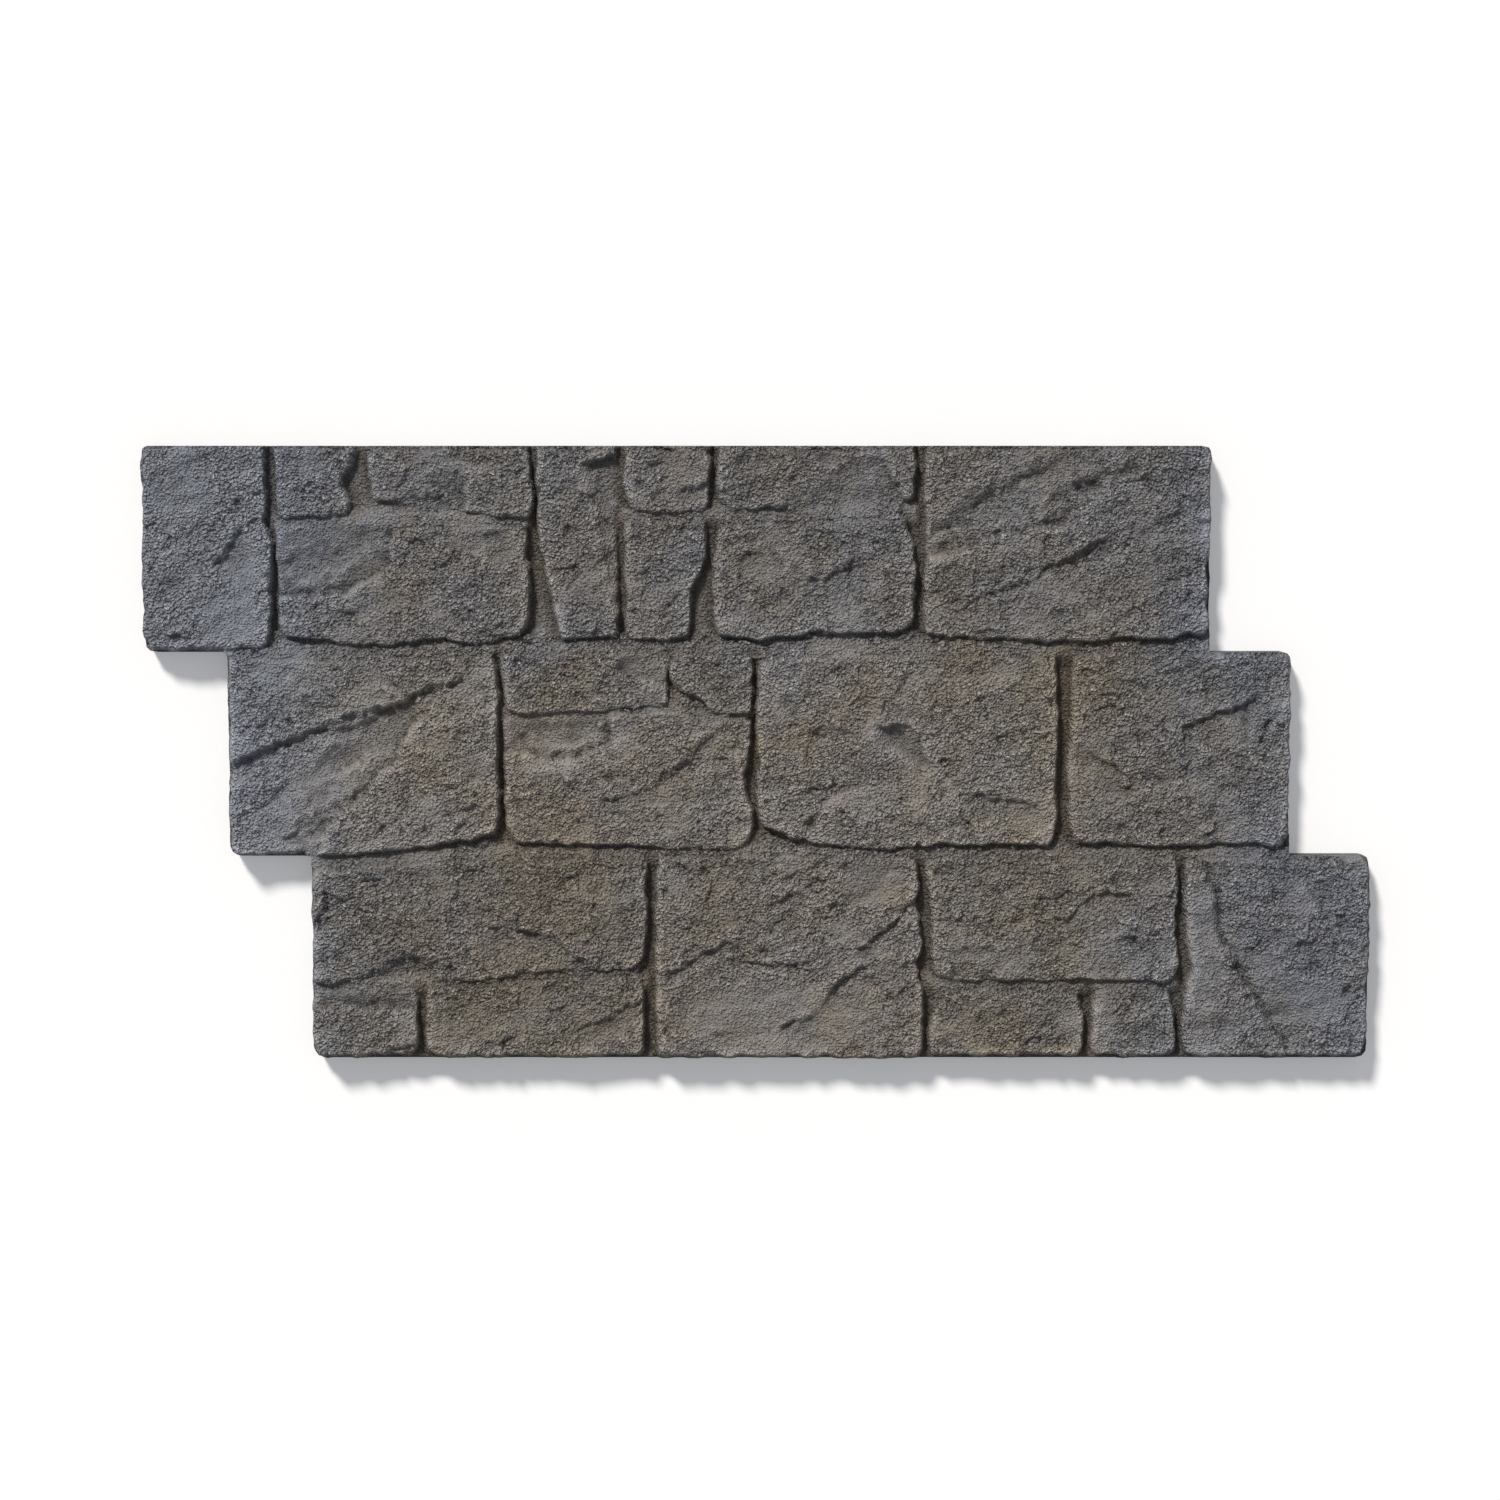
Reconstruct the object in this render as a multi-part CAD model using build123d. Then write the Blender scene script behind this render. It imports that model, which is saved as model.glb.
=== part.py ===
from build123d import *
import os

# Faux stone wall panel: one moulded piece, lying on its flat back with its stone face up.
# Three courses of raised stones stand on a mortar bed, and each course is stepped to the right of
# the one above it, so that the ends lock into the next panel. Every size is in millimetres.
# X runs along the courses, Y runs up the wall, and Z comes out of the wall.
#
# Each course is divided by joint lines, given in percent of its length and height. The cell between
# them, less the joint, is filled by one stone, whose outline is given in percent of that cell. Leans,
# depths and radii are in millimetres.

# Plan
course_length = 1040.0
course_height = 200.0
course_step = 80.0
course_count = 3
outer_corner_radius = 8.0
inner_corner_radius = 3.0

# Thickness
bed_thickness = 20.5
ridge_rise = 5.5
ridge_reach = 14.0
stone_lift = 12.0
cutter_headroom = 30.0

# Joints and the shape of one stone
joint_width = 8.0
edge_inset = 2.5
side_draft = 14.0
stone_corner_radius = 5.0
arris_width = 2.2
sharp_turn = 30.0
foot_sink = 4.0
same_place = 0.001

# Derived sizes
panel_length = course_length + course_step * (course_count - 1)
panel_height = course_height * course_count


def course_corner(row):
    """The lower left corner of a course, counted from 0 at the top."""
    x = -panel_length / 2 + row * course_step
    y = panel_height / 2 - (row + 1) * course_height
    return x, y


def stepped_outline():
    """The outline of the panel in plan, with its stepped ends, counter-clockwise."""
    left, right = [], []
    for row in range(course_count):
        x, y = course_corner(row)
        left += [(x, y + course_height), (x, y)]
        right += [(x + course_length, y + course_height), (x + course_length, y)]
    return left + right[::-1]


def is_outer(edge):
    """True for an upright edge at one of the panel's outer corners."""
    x, y = edge.center().X, edge.center().Y
    for row in range(course_count):
        left, bottom = course_corner(row)
        if abs(x - left) < same_place and abs(y - bottom) < same_place:
            return True
        if abs(x - left - course_length) < same_place and abs(y - bottom - course_height) < same_place:
            return True
    corners = [(-panel_length / 2, panel_height / 2), (panel_length / 2, -panel_height / 2)]
    return any(abs(x - a) < same_place and abs(y - b) < same_place for a, b in corners)


def envelope(thickness):
    """A block with the panel's stepped plan, its corners rounded."""
    block = extrude(make_face(Polyline(*stepped_outline(), close=True)), amount=thickness)
    upright = block.edges().filter_by(Axis.Z)
    outer = [e for e in upright if is_outer(e)]
    inner = [e for e in upright if not is_outer(e)]
    block = fillet(outer, outer_corner_radius)
    upright = block.edges().filter_by(Axis.Z)
    places = [e.center() for e in inner]
    inner = [e for e in upright if any((e.center() - p).length < same_place for p in places)]
    return fillet(inner, inner_corner_radius)


def course_bed(row):
    """The flat mortar bed of one course."""
    corner = (Align.MIN, Align.MIN, Align.MIN)
    return Pos(*course_corner(row), 0) * Box(course_length, course_height, bed_thickness, align=corner)


def mortar_ridge(west, east, y):
    """The mortar along a level joint: it stands on the bed and rises to a low ridge."""
    foot = bed_thickness - foot_sink
    low, high = y - ridge_reach, y + ridge_reach
    profile = [(low, foot), (high, foot), (high, bed_thickness), (y, bed_thickness + ridge_rise),
               (low, bed_thickness)]
    return extrude(make_face(Plane.YZ.offset(west) * Polyline(*profile, close=True)), amount=east - west)


def level_joint(row, west, east, line):
    """The mortar of a level joint within a course, between two joint lines or ends, in percent."""
    x, y = course_corner(row)
    start, end = x + course_length * west / 100, x + course_length * east / 100
    return mortar_ridge(start, end, y + course_height * line / 100)


def face_edge(line, whole, inward):
    """Where a stone's face ends: half a joint inside a joint line, or the inset inside the course's end."""
    gap = edge_inset if line in (0, 100) else joint_width / 2
    return whole * line / 100 + inward * gap


class Face:
    """The leaning top plane of a stone over its cell. Leans are in millimetres of rise for each 100 mm."""

    def __init__(self, row, cell, lift, lean):
        x, y = course_corner(row)
        west, east, south, north = cell
        self.west = x + face_edge(west, course_length, 1)
        self.south = y + face_edge(south, course_height, 1)
        self.length = x + face_edge(east, course_length, -1) - self.west
        self.height = y + face_edge(north, course_height, -1) - self.south
        self.x = self.west + self.length / 2
        self.y = self.south + self.height / 2
        self.level = bed_thickness + lift
        self.lean_x, self.lean_y = lean[0] / 100, lean[1] / 100

    def place(self, across, up):
        """A place in plan, from percent across the cell and up it."""
        return self.west + self.length * across / 100, self.south + self.height * up / 100

    def point(self, across, up, depth):
        """The point at a depth below the face."""
        x, y = self.place(across, up)
        rise = self.lean_x * (x - self.x) + self.lean_y * (y - self.y)
        return Vector(x, y, self.level + rise - depth)

    def plane(self):
        """The plane itself, with its origin over the middle of the cell."""
        across = Vector(1, 0, self.lean_x)
        up = Vector(0, 1, self.lean_y)
        return Plane(origin=(self.x, self.y, self.level), x_dir=across, z_dir=across.cross(up))


def plane_through(a, b, c):
    """The plane through three points, with its normal upwards."""
    normal = (b - a).cross(c - a)
    if normal.Z < 0:
        normal = normal * -1
    return Plane(origin=a, z_dir=normal)


def flake_cutter(face, region, floor):
    """What a flake takes off: all that stands over a region, above the plane through three floor points."""
    points = [face.point(*place) for place in floor]
    bottom = min(point.Z for point in points) - cutter_headroom
    outline = Polyline(*[face.place(*place) for place in region], close=True)
    prism = extrude(Plane.XY.offset(bottom) * make_face(outline), amount=3 * cutter_headroom)
    return split(prism, bisect_by=plane_through(*points), keep=Keep.TOP)


def dish_cutter(face, across, up, radius, depth):
    """A shallow round hollow: a ball that dips to the depth, and is as wide as the radius at the face."""
    ball = (radius * radius + depth * depth) / (2 * depth)
    return Pos(face.point(across, up, -ball + depth)) * Sphere(ball)


def sharp_corners(outline):
    """The points where an outline turns far enough to be a rounded corner."""
    found = []
    for before, point, after in zip([outline[-1]] + outline[:-1], outline, outline[1:] + outline[:1]):
        into, out = Vector(*point) - Vector(*before), Vector(*after) - Vector(*point)
        if abs(into.get_signed_angle(out)) > sharp_turn:
            found.append((round(point[0], 3), round(point[1], 3)))
    return found


def top_point(edge):
    """Where an upright edge ends at the top, in plan."""
    place = edge.vertices().sort_by(Axis.Z)[-1].center()
    return round(place.X, 3), round(place.Y, 3)


def stone(row, cell, outline, proud=0.0, lean=(0.0, 0.0), flakes=(), dishes=()):
    """One raised stone: its cell (west, east, south, north), its outline in the cell, how far it stands
    proud of the other stones, and what has broken off its face."""
    lift = stone_lift + proud
    face = Face(row, cell, lift, lean)
    flat = [(x - face.x, y - face.y) for x, y in [face.place(*place) for place in outline]]
    blank = extrude(make_face(Polyline(*flat, close=True)),
                    amount=lift + foot_sink, dir=(0, 0, -1), taper=-side_draft)
    corners = sharp_corners(flat)
    upright = [e for e in blank.edges() if abs(e.tangent_at(0.5).Z) > 0.5]
    rounded = [e for e in upright if top_point(e) in corners]
    blank = fillet(rounded, stone_corner_radius)
    blank = chamfer(blank.faces().sort_by(Axis.Z)[-1].edges(), arris_width)
    blank = face.plane().location * blank
    for region, floor in flakes:
        blank -= flake_cutter(face, region, floor)
    for dish in dishes:
        blank -= dish_cutter(face, *dish)
    return blank


def top_course(row):
    """The ten stones of the top course, and the mortar of its level joints."""
    first, second, third, fourth, fifth, sixth = 12.1, 20.9, 36.3, 44.6, 53.4, 72.6
    left_level, middle_level, right_level = 64, 66.5, 67
    return [
        level_joint(row, first, third, left_level),
        level_joint(row, fourth, fifth, middle_level),
        level_joint(row, fifth, sixth, right_level),
        # tall stone at the left end, with a hollow on its right side
        stone(row, (0, first, 0, 100),
              [(0, 0), (93, 0), (99, 9), (100, 44), (96, 65), (97, 100), (0, 100)],
              lean=(-0.6, 0.0),
              flakes=[([(105, 64), (80, 63), (67, 48), (57, 41), (63, 35), (67, 28), (105, 29)],
                       [(57, 42, 6), (78, 62, 5.5), (102, 33, 0)])],
              dishes=[(21, 61, 6, 2.5)]),
        # small upper stone, its right side broken away
        stone(row, (first, second, left_level, 100),
              [(5, 0), (83, 2), (91, 43), (94, 100), (0, 100)], proud=-1,
              flakes=[([(83, -6), (82, 12), (85, 27), (76, 50), (80, 67), (91, 104), (120, 104), (120, -6)],
                       [(82, 12, 1), (80, 67, 1), (96, 35, 9)])]),
        # upper stone with a low smooth left part
        stone(row, (second, third, left_level, 100),
              [(2, 24), (62, 5), (99, 0), (100, 100), (0, 100)],
              proud=-1, lean=(0.5, 0.0),
              flakes=[([(-4, -3), (60, -3), (62, 40), (64, 61), (32, 63), (-4, 69)],
                       [(2, 66, 1), (62, 50, 3.5), (32, 12, 7)])]),
        # long stone with its upper left corner hollowed
        stone(row, (first, third, 0, left_level),
              [(1, 18), (10, 11), (27, 4), (44, 4), (70, 9), (80, 5), (94, 10), (99, 23), (100, 60), (98, 95),
               (70, 97), (0, 100)],
              lean=(0.4, 0.0),
              flakes=[([(-4, 105), (-4, 45), (23, 45), (37, 57), (44, 70), (45, 87), (49, 109)],
                       [(23, 46, 7), (45, 80, 7), (4, 98, 0)])],
              dishes=[(90, 80, 20, 3.5)]),
        # tall narrow stone with a long sloping side
        stone(row, (third, fourth, 0, 100),
              [(30, 10), (34, 5), (98, 7), (100, 35), (98, 100), (6, 100), (6, 60), (18, 29)],
              lean=(-0.6, 0.0),
              flakes=[([(113, 24), (95, 24), (90, 37), (81, 53), (72, 69), (59, 87), (113, 90)],
                       [(93, 31, 0.5), (62, 83, 0.5), (100, 76, 10)])],
              dishes=[(86, 93, 11, 5)]),
        # small upper stone with a broken lower right corner
        stone(row, (fourth, fifth, middle_level, 100),
              [(3, 10), (17, 0), (58, 0), (89, 2), (96, 21), (96, 100), (3, 100)], proud=-1,
              flakes=[([(55, -12), (55, 30), (72, 38), (110, 45), (110, -12)],
                       [(58, 28, 5), (92, 41, 5), (80, 5, 1)])]),
        # small lower stone
        stone(row, (fourth, fifth, 0, middle_level),
              [(3, 10), (23, 8), (71, 9), (74, 38), (90, 64), (92, 99), (3, 99)], proud=-1, lean=(0.0, 0.5),
              flakes=[([(-7, 50), (23, 39), (39, 28), (34, 2), (-7, 2)],
                       [(5, 47, 3), (39, 28, 2.5), (15, 9, 1)])]),
        # upper stone with a broad slope on its lower right side
        stone(row, (fifth, sixth, right_level, 100),
              [(1, 17), (7, 2), (53, 3), (73, 12), (94, 15), (98, 29), (98, 100), (0, 100)],
              flakes=[([(33, -13), (33, 24), (47, 52), (68, 84), (80, 104), (105, 104), (105, -13)],
                       [(33, 24, 0), (73, 91, 0), (92, 20, 9)])]),
        # lower stone with layered breaks
        stone(row, (fifth, sixth, 0, right_level),
              [(0, 12), (20, 7), (38, 9), (46, 15), (59, 13), (93, 15), (98, 28), (98, 75), (94, 96),
               (90, 100), (81, 99), (0, 94)],
              lean=(0.3, 0.0),
              flakes=[([(36, 69), (46, 55), (59, 58), (72, 65), (102, 65), (102, 29), (36, 33)],
                       [(46, 55, 4.5), (83, 65, 4.5), (68, 29, 0)]),
                      ([(20, 30), (26, 37), (34, 47), (47, 33), (47, 4), (26, 4)],
                       [(20, 30, 3), (34, 47, 3), (34, 9, 1)])],
              dishes=[(23, 62, 24, 3)]),
        # large stone at the right end, folded from lower left to upper right
        stone(row, (sixth, 100, 0, 100),
              [(1, 9), (15, 6), (33, 5), (57, 4), (78, 6), (93, 8), (100, 7), (100, 100), (1, 100), (0, 29)],
              proud=2, lean=(0.4, 0.5),
              flakes=[([(8, 20), (27, 31), (42, 41), (53, 49), (69, 58), (83, 59), (83, 29), (15, 11)],
                       [(15, 24, 4.5), (53, 49, 5.5), (51, 17, 0)]),
                      ([(-3, 45), (15, 52), (30, 59), (48, 63), (57, 76), (72, 82), (87, 97), (72, 96),
                        (51, 87), (29, 76), (-3, 64)],
                       [(11, 50, 8), (52, 71, 7), (29, 76, 0.5)]),
                      ([(8, 87), (20, 91), (33, 96), (37, 104), (8, 104)],
                       [(9, 87, 1), (33, 96, 1), (15, 100, 5)])]),
    ]


def middle_course(row):
    """The six stones of the middle course, and the mortar of its level joint."""
    first, second, third, fourth = 25.4, 41.3, 49.5, 78.5
    left_level, right_level = 70, 68.5
    return [
        level_joint(row, first, third, left_level),
        # large stone at the left end with two long breaks
        stone(row, (0, first, 0, 100),
              [(0, 0), (50, 0), (66, 2), (84, 7), (100, 9), (100, 96), (94, 100), (65, 98), (22, 98),
               (0, 99)],
              proud=1, lean=(0.2, 0.0),
              flakes=[([(-3, 44), (16, 57), (40, 68), (68, 80), (82, 87), (95, 101), (86, 80),
                        (69, 68), (46, 54), (18, 39), (-3, 27)],
                       [(7, 51, 6), (57, 76, 6), (26, 36, 0.5)]),
                      ([(79, 84), (75, 72), (70, 68), (62, 48), (53, 36), (39, 17), (35, 5), (32, -4),
                        (3, -4), (22, 24), (46, 54), (69, 68)],
                       [(62, 48, 7), (39, 17, 7), (22, 45, 0)])],
              dishes=[(93, 43, 17, 3.5)]),
        # upper stone with a smooth corner
        stone(row, (first, second, left_level, 100),
              [(1, 11), (5, 0), (58, 0), (84, 6), (100, 7), (100, 100), (0, 100)], proud=-1,
              flakes=[([(66, 114), (67, 75), (84, 64), (106, 45), (106, 114)],
                       [(67, 75, 3.5), (101, 50, 3.5), (84, 105, 0.5)])]),
        # small upper stone with its lower left corner missing
        stone(row, (second, third, right_level, 100),
              [(0, 66), (36, 26), (50, 8), (66, 0), (97, 0), (97, 100), (0, 100)],
              proud=-1),
        # long lower stone with a hollowed upper left corner
        stone(row, (first, third, 0, right_level),
              [(2, 17), (6, 8), (38, 7), (75, 4), (91, 3), (98, 12), (99, 44), (97, 59), (99, 98), (1, 98),
               (1, 44)],
              flakes=[([(-3, 108), (-3, 76), (18, 72), (27, 70), (39, 80), (43, 86), (43, 95), (40, 108)],
                       [(9, 74, 6.5), (43, 88, 6.5), (4, 100, 0)]),
                      ([(90, 99), (80, 82), (72, 68), (63, 58), (59, 48), (50, 46), (41, 40), (41, 29),
                        (48, 2), (104, 2), (104, 93)],
                       [(42, 39, 3), (80, 82, 2.6), (87, 13, 0)])]),
        # large stone with a dished break in its middle
        stone(row, (third, fourth, 0, 100),
              [(1, 25), (1, 15), (12, 8), (34, 3), (62, 5), (95, 5), (97, 10), (98, 97), (41, 100), (8, 99),
               (0, 95), (0, 40)],
              proud=1.5, lean=(0.2, 0.2),
              flakes=[([(67, 31), (77, 28), (89, 26), (101, 22), (101, 1), (69, 1)],
                       [(67, 31, 4.5), (96, 23, 4.5), (82, 5, 0.5)]),
                      ([(7, 81), (15, 61), (28, 59), (39, 59), (41, 68), (21, 76)],
                       [(14, 62, 2.5), (40, 59, 2.5), (24, 76, 0.5)])],
              dishes=[(46, 56, 28, 4.5)]),
        # stone at the right end with a deep hollow
        stone(row, (fourth, 100, 0, 100),
              [(3, 14), (4, 6), (16, 6), (44, 4), (81, 6), (97, 4), (100, 10), (100, 95), (97, 100), (3, 100),
               (1, 29)],
              proud=0.5, lean=(-0.3, 0.0),
              flakes=[([(-2, 56), (8, 56), (17, 47), (25, 41), (27, 35), (33, 25), (27, 1), (-2, 1)],
                       [(8, 56, 4.2), (27, 37, 4.2), (11, 9, 0)]),
                      ([(50, 53), (51, 64), (60, 69), (73, 72), (86, 81), (89, 59), (76, 47), (53, 46)],
                       [(52, 63, 6.5), (83, 79, 6), (76, 47, 0)])]),
    ]


def bottom_course(row):
    """The eight stones of the bottom course, and the mortar of its level joints."""
    first, second, third, fourth, fifth = 10.4, 32, 57.8, 73.2, 82
    left_level, right_level = 37.5, 37
    return [
        level_joint(row, 0, second, left_level),
        level_joint(row, third, fifth, right_level),
        # long upper stone at the left end
        stone(row, (0, second, left_level, 100),
              [(0, 0), (38, 0), (61, 1), (73, 5), (91, 7), (97, 12), (99, 28), (99, 99), (73, 100), (36, 96),
               (0, 92)],
              proud=0.5, lean=(0.0, 0.3),
              flakes=[([(8, -11), (12, 0), (22, 11), (28, 17), (33, 20), (38, 15), (39, -11)],
                       [(12, 0, 0), (32, 19, 0), (27, -3, 8)]),
                      ([(46, 45), (52, 49), (62, 41), (73, 36), (80, 19), (87, 1), (45, -1), (41, 14)],
                       [(52, 48, 5), (77, 26, 4.5), (61, 5, 0.5)])]),
        # small lower stone at the left end
        stone(row, (0, first, 0, left_level),
              [(1, 3), (94, 2), (98, 50), (95, 97), (1, 97)], proud=-1,
              flakes=[([(-7, 71), (37, 74), (104, 69), (104, 113), (-7, 113)],
                       [(7, 71, 4), (96, 69, 4), (47, 96, 0.5)])]),
        # long lower stone
        stone(row, (first, second, 0, left_level),
              [(1, 14), (4, 2), (95, 2), (97, 11), (97, 100), (1, 98), (0, 77)], proud=-0.5, lean=(-0.2, 0.0),
              flakes=[([(60, 28), (74, 49), (83, 56), (87, 68), (103, 78), (103, -11), (57, -11)],
                       [(64, 34, 4), (95, 75, 4), (82, 5, 0.4)])]),
        # large square stone in three broken layers
        stone(row, (second, third, 0, 100),
              [(1, 0), (99, 0), (98, 48), (97, 100), (2, 100), (1, 50)],
              proud=1.5, lean=(-0.2, 0.2),
              flakes=[([(-3, 43), (10, 45), (16, 50), (22, 55), (31, 57), (35, 49), (45, 46), (59, 49),
                        (76, 52), (78, 45), (59, 17), (51, -4), (-3, -4)],
                       [(17, 51, 4.5), (62, 50, 4.5), (32, 19, 0)]),
                      ([(103, 82), (95, 77), (91, 69), (81, 62), (76, 55), (75, 43), (67, 36), (63, 26),
                        (53, 19), (45, 8), (40, -4), (103, -4)],
                       [(86, 66, 5.5), (53, 19, 5.5), (97, 14, 0)]),
                      ([(41, 75), (49, 80), (57, 86), (63, 76), (54, 56), (48, 54)],
                       [(42, 75, 4.5), (57, 86, 4.5), (54, 59, 0.5)])]),
        # long upper stone
        stone(row, (third, fifth, right_level, 100),
              [(1, 83), (3, 48), (2, 18), (3, 5), (7, 1), (39, 0), (64, 3), (96, 0), (100, 6), (100, 31),
               (98, 52), (99, 73), (98, 99), (0, 99)],
              flakes=[([(48, 52), (56, 55), (66, 70), (72, 74), (82, 71), (103, 73), (103, 42), (51, 42)],
                       [(53, 54, 4.5), (74, 74, 4.5), (76, 44, 0)])],
              dishes=[(17, 22, 26, 3)]),
        # lower stone with its upper left corner broken away
        stone(row, (third, fourth, 0, right_level),
              [(3, 14), (6, 2), (94, 2), (99, 23), (99, 67), (95, 87), (87, 94), (41, 99), (20, 96), (4, 70)],
              proud=-1, lean=(0.3, -0.4),
              flakes=[([(-3, 107), (-3, 41), (5, 47), (23, 64), (37, 85), (39, 107)],
                       [(5, 50, 1), (36, 85, 1), (12, 97, 6)])]),
        # small lower stone
        stone(row, (fourth, fifth, 0, right_level),
              [(3, 2), (97, 2), (97, 48), (87, 94), (6, 97)], proud=-1),
        # large stone at the right end, split by a deep crack
        stone(row, (fifth, 100, 0, 100),
              [(0, 8), (2, 1), (96, 1), (99, 10), (99, 95), (96, 100), (0, 100), (0, 81), (3, 55), (5, 43),
               (1, 27)],
              proud=1, lean=(0.0, 0.3),
              flakes=[([(1, 104), (9, 90), (12, 81), (14, 71), (19, 56), (24, 44), (29, 35), (40, 22),
                        (47, 6), (51, -4), (61, -4), (52, 12), (46, 25), (35, 39), (29, 48), (24, 59),
                        (19, 72), (17, 83), (10, 104)],
                       [(14, 76, 7), (24, 52, 7.5), (49, 14, 7)]),
                      ([(65, 91), (73, 91), (76, 83), (75, 68), (70, 76), (65, 85)],
                       [(67, 86, 0.4), (70, 76, 0.4), (75, 83, 4.5)])],
              dishes=[(88, 31, 9, 3.5)]),
    ]


def stone_panel():
    """The whole panel as one solid. Further courses would repeat the three patterns."""
    patterns = (top_course, middle_course, bottom_course)
    beds, forms = [], []
    for row in range(course_count):
        beds.append(course_bed(row))
        forms += patterns[row % len(patterns)](row)
    for row in range(course_count - 1):
        forms.append(mortar_ridge(-panel_length / 2, panel_length / 2, course_corner(row)[1]))
    panel = beds[0] + beds[1:] + forms
    return envelope(bed_thickness + 2 * stone_lift) & panel


os.makedirs("parts", exist_ok=True)
export_step(stone_panel(), "parts/stone_panel.step")
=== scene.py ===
"""Looks of the faux stone wall panel: one moulded skin with 24 stones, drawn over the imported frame."""
import math

import bpy
import numpy as np
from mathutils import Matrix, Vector


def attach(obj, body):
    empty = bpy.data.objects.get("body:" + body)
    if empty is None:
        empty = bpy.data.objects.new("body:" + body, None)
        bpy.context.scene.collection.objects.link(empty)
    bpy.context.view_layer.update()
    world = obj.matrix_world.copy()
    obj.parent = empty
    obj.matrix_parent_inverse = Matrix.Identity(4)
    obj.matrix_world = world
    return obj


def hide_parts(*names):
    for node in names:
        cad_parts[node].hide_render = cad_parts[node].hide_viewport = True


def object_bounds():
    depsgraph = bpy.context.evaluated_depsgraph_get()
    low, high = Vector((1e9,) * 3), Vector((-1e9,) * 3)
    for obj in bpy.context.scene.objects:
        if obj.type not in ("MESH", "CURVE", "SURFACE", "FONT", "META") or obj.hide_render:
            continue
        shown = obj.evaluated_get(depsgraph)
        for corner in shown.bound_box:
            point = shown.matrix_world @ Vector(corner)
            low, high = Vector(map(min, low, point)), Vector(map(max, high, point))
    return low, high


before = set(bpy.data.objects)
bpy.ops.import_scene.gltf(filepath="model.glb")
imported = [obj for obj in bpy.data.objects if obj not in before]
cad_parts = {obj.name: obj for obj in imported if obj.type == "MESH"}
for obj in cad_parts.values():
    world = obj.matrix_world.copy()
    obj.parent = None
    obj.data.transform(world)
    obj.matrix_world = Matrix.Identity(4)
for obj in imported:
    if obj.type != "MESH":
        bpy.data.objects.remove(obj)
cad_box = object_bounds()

NODE = "stone_panel"
PIECE = "cast_panel"
FACE_TRIANGLES = 190000

# All of the relief is worked out in millimetres: X along the courses, Y up the wall, Z out of it
MM = 1000.0
HALF_X, HALF_Y = round(cad_box[1][0] * MM, 1), round(cad_box[1][1] * MM, 1)
ROOF = cad_box[1][2] * MM - 0.15
ROOF_SOFTNESS = 0.5
COURSE_LENGTH, COURSE_HEIGHT, COURSE_STEP = 1040.0, 200.0, 80.0
GRID = 1.0
MORTAR = 20.5
RIDGE = 5.5
RIDGE_REACH, RIDGE_CREST, RIDGE_END = 16.0, 3, 4
UPRIGHT_DEPTH = 2.0
RIGHT_SHIFT = 3.0
FACE_DROP = 1.5
BLEND = 1.2
WALL_LEVELS, WALL_TOP = (0.6, 0.3, 0.0), 0.7
WINDOW_MARGIN = 24

# Layers of gradient noise: height and size in mm, and a seed
EDGE_WANDER_X = ((2.2, 17, 3), (2.0, 7, 4))
EDGE_WANDER_Y = ((2.2, 17, 5), (2.0, 7, 6))
BREAK_WANDER_X = ((3.0, 31, 13), (2.4, 11, 14), (1.0, 5, 15))
BREAK_WANDER_Y = ((3.0, 31, 16), (2.4, 11, 17), (1.0, 5, 18))
BREAK_SWELL = ((0.5, 24, 7), (0.35, 9, 8))
CHIP_WANDER_X, CHIP_WANDER_Y = ((3, 17, 8),), ((3, 17, 9),)
RIPPLE_WANDER = ((5, 60, 131),)

# Fractal layers: height and size in mm, a seed, the number of octaves and their gain
FACE_SWELL = (1.8, 75, 11, 2, 0.5)
FACE_LUMPS = (1.5, 28, 21, 3, 0.6)
FACE_RIPPLE = (3.0, 27, 141, 2, 0.55)
FACE_GRAIN = (1.4, 7, 51, 2, 0.7)
BED_SWELL = (0.8, 30, 81, 3, 0.5)
BED_GRIT = (0.25, 6, 91, 2, 0.5)
ARRIS_SWELL = (2.0, 30, 55, 2, 0.5)

# Fractal noises without a height: size in mm, a seed, the number of octaves and their gain
PIT_NOISE = (10, 61, 2, 0.5)
PATCH_NOISE = (60, 71, 3, 0.6)
CRUMBLY_NOISE = (65, 121, 3, 0.6)

# Broken facets: height and size in mm, and a seed
LARGE_CHIPS = (1.9, 23, 31)
SMALL_CHIPS = (1.5, 9.5, 41)

# Ripples run along this direction, drawn out by the stretch; small pits of the grain
RIPPLE_WAY, RIPPLE_STRETCH = (0.91, 0.42), 0.34
PIT_DEPTH, PIT_RARITY = 2.8, 0.25

# How smooth the mortar and the worn patches are, and what wear takes off the rough and fine texture
BED_SMOOTH, PATCH_SMOOTH, WORN_ROUGH, WORN_GRAIN = 0.75, 0.75, 0.75, 0.8

# Ragged ends: height and size in mm, seed and row of the noise; then the mean and the most, and their reach
LEFT_RAG = ((0.9, 34, 101, 7), (0.7, 9, 102, 3))
RIGHT_RAG = ((0.9, 31, 103, 57), (0.7, 8, 104, 33))
RAG_MEAN, RAG_MOST, RAG_REACH = 1.3, 3, 20
LEFT_FOOT, TOP_LEFT, RIGHT_HEAD, BOTTOM_RIGHT = 10.0, 6.0, 7.0, 9.0

# Edges of the stones: the arris is a quarter circle, and the draft below it falls this many mm for each mm
ARRIS, ARRIS_FLATNESS, ARRIS_CRISPNESS = 3.8, 0.8, 0.55
UPPER_SOFTNESS = 0.3
DRAFT, CRISP_DRAFT, UPPER_DRAFT = 2.6, 0.8, 0.3

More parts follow.
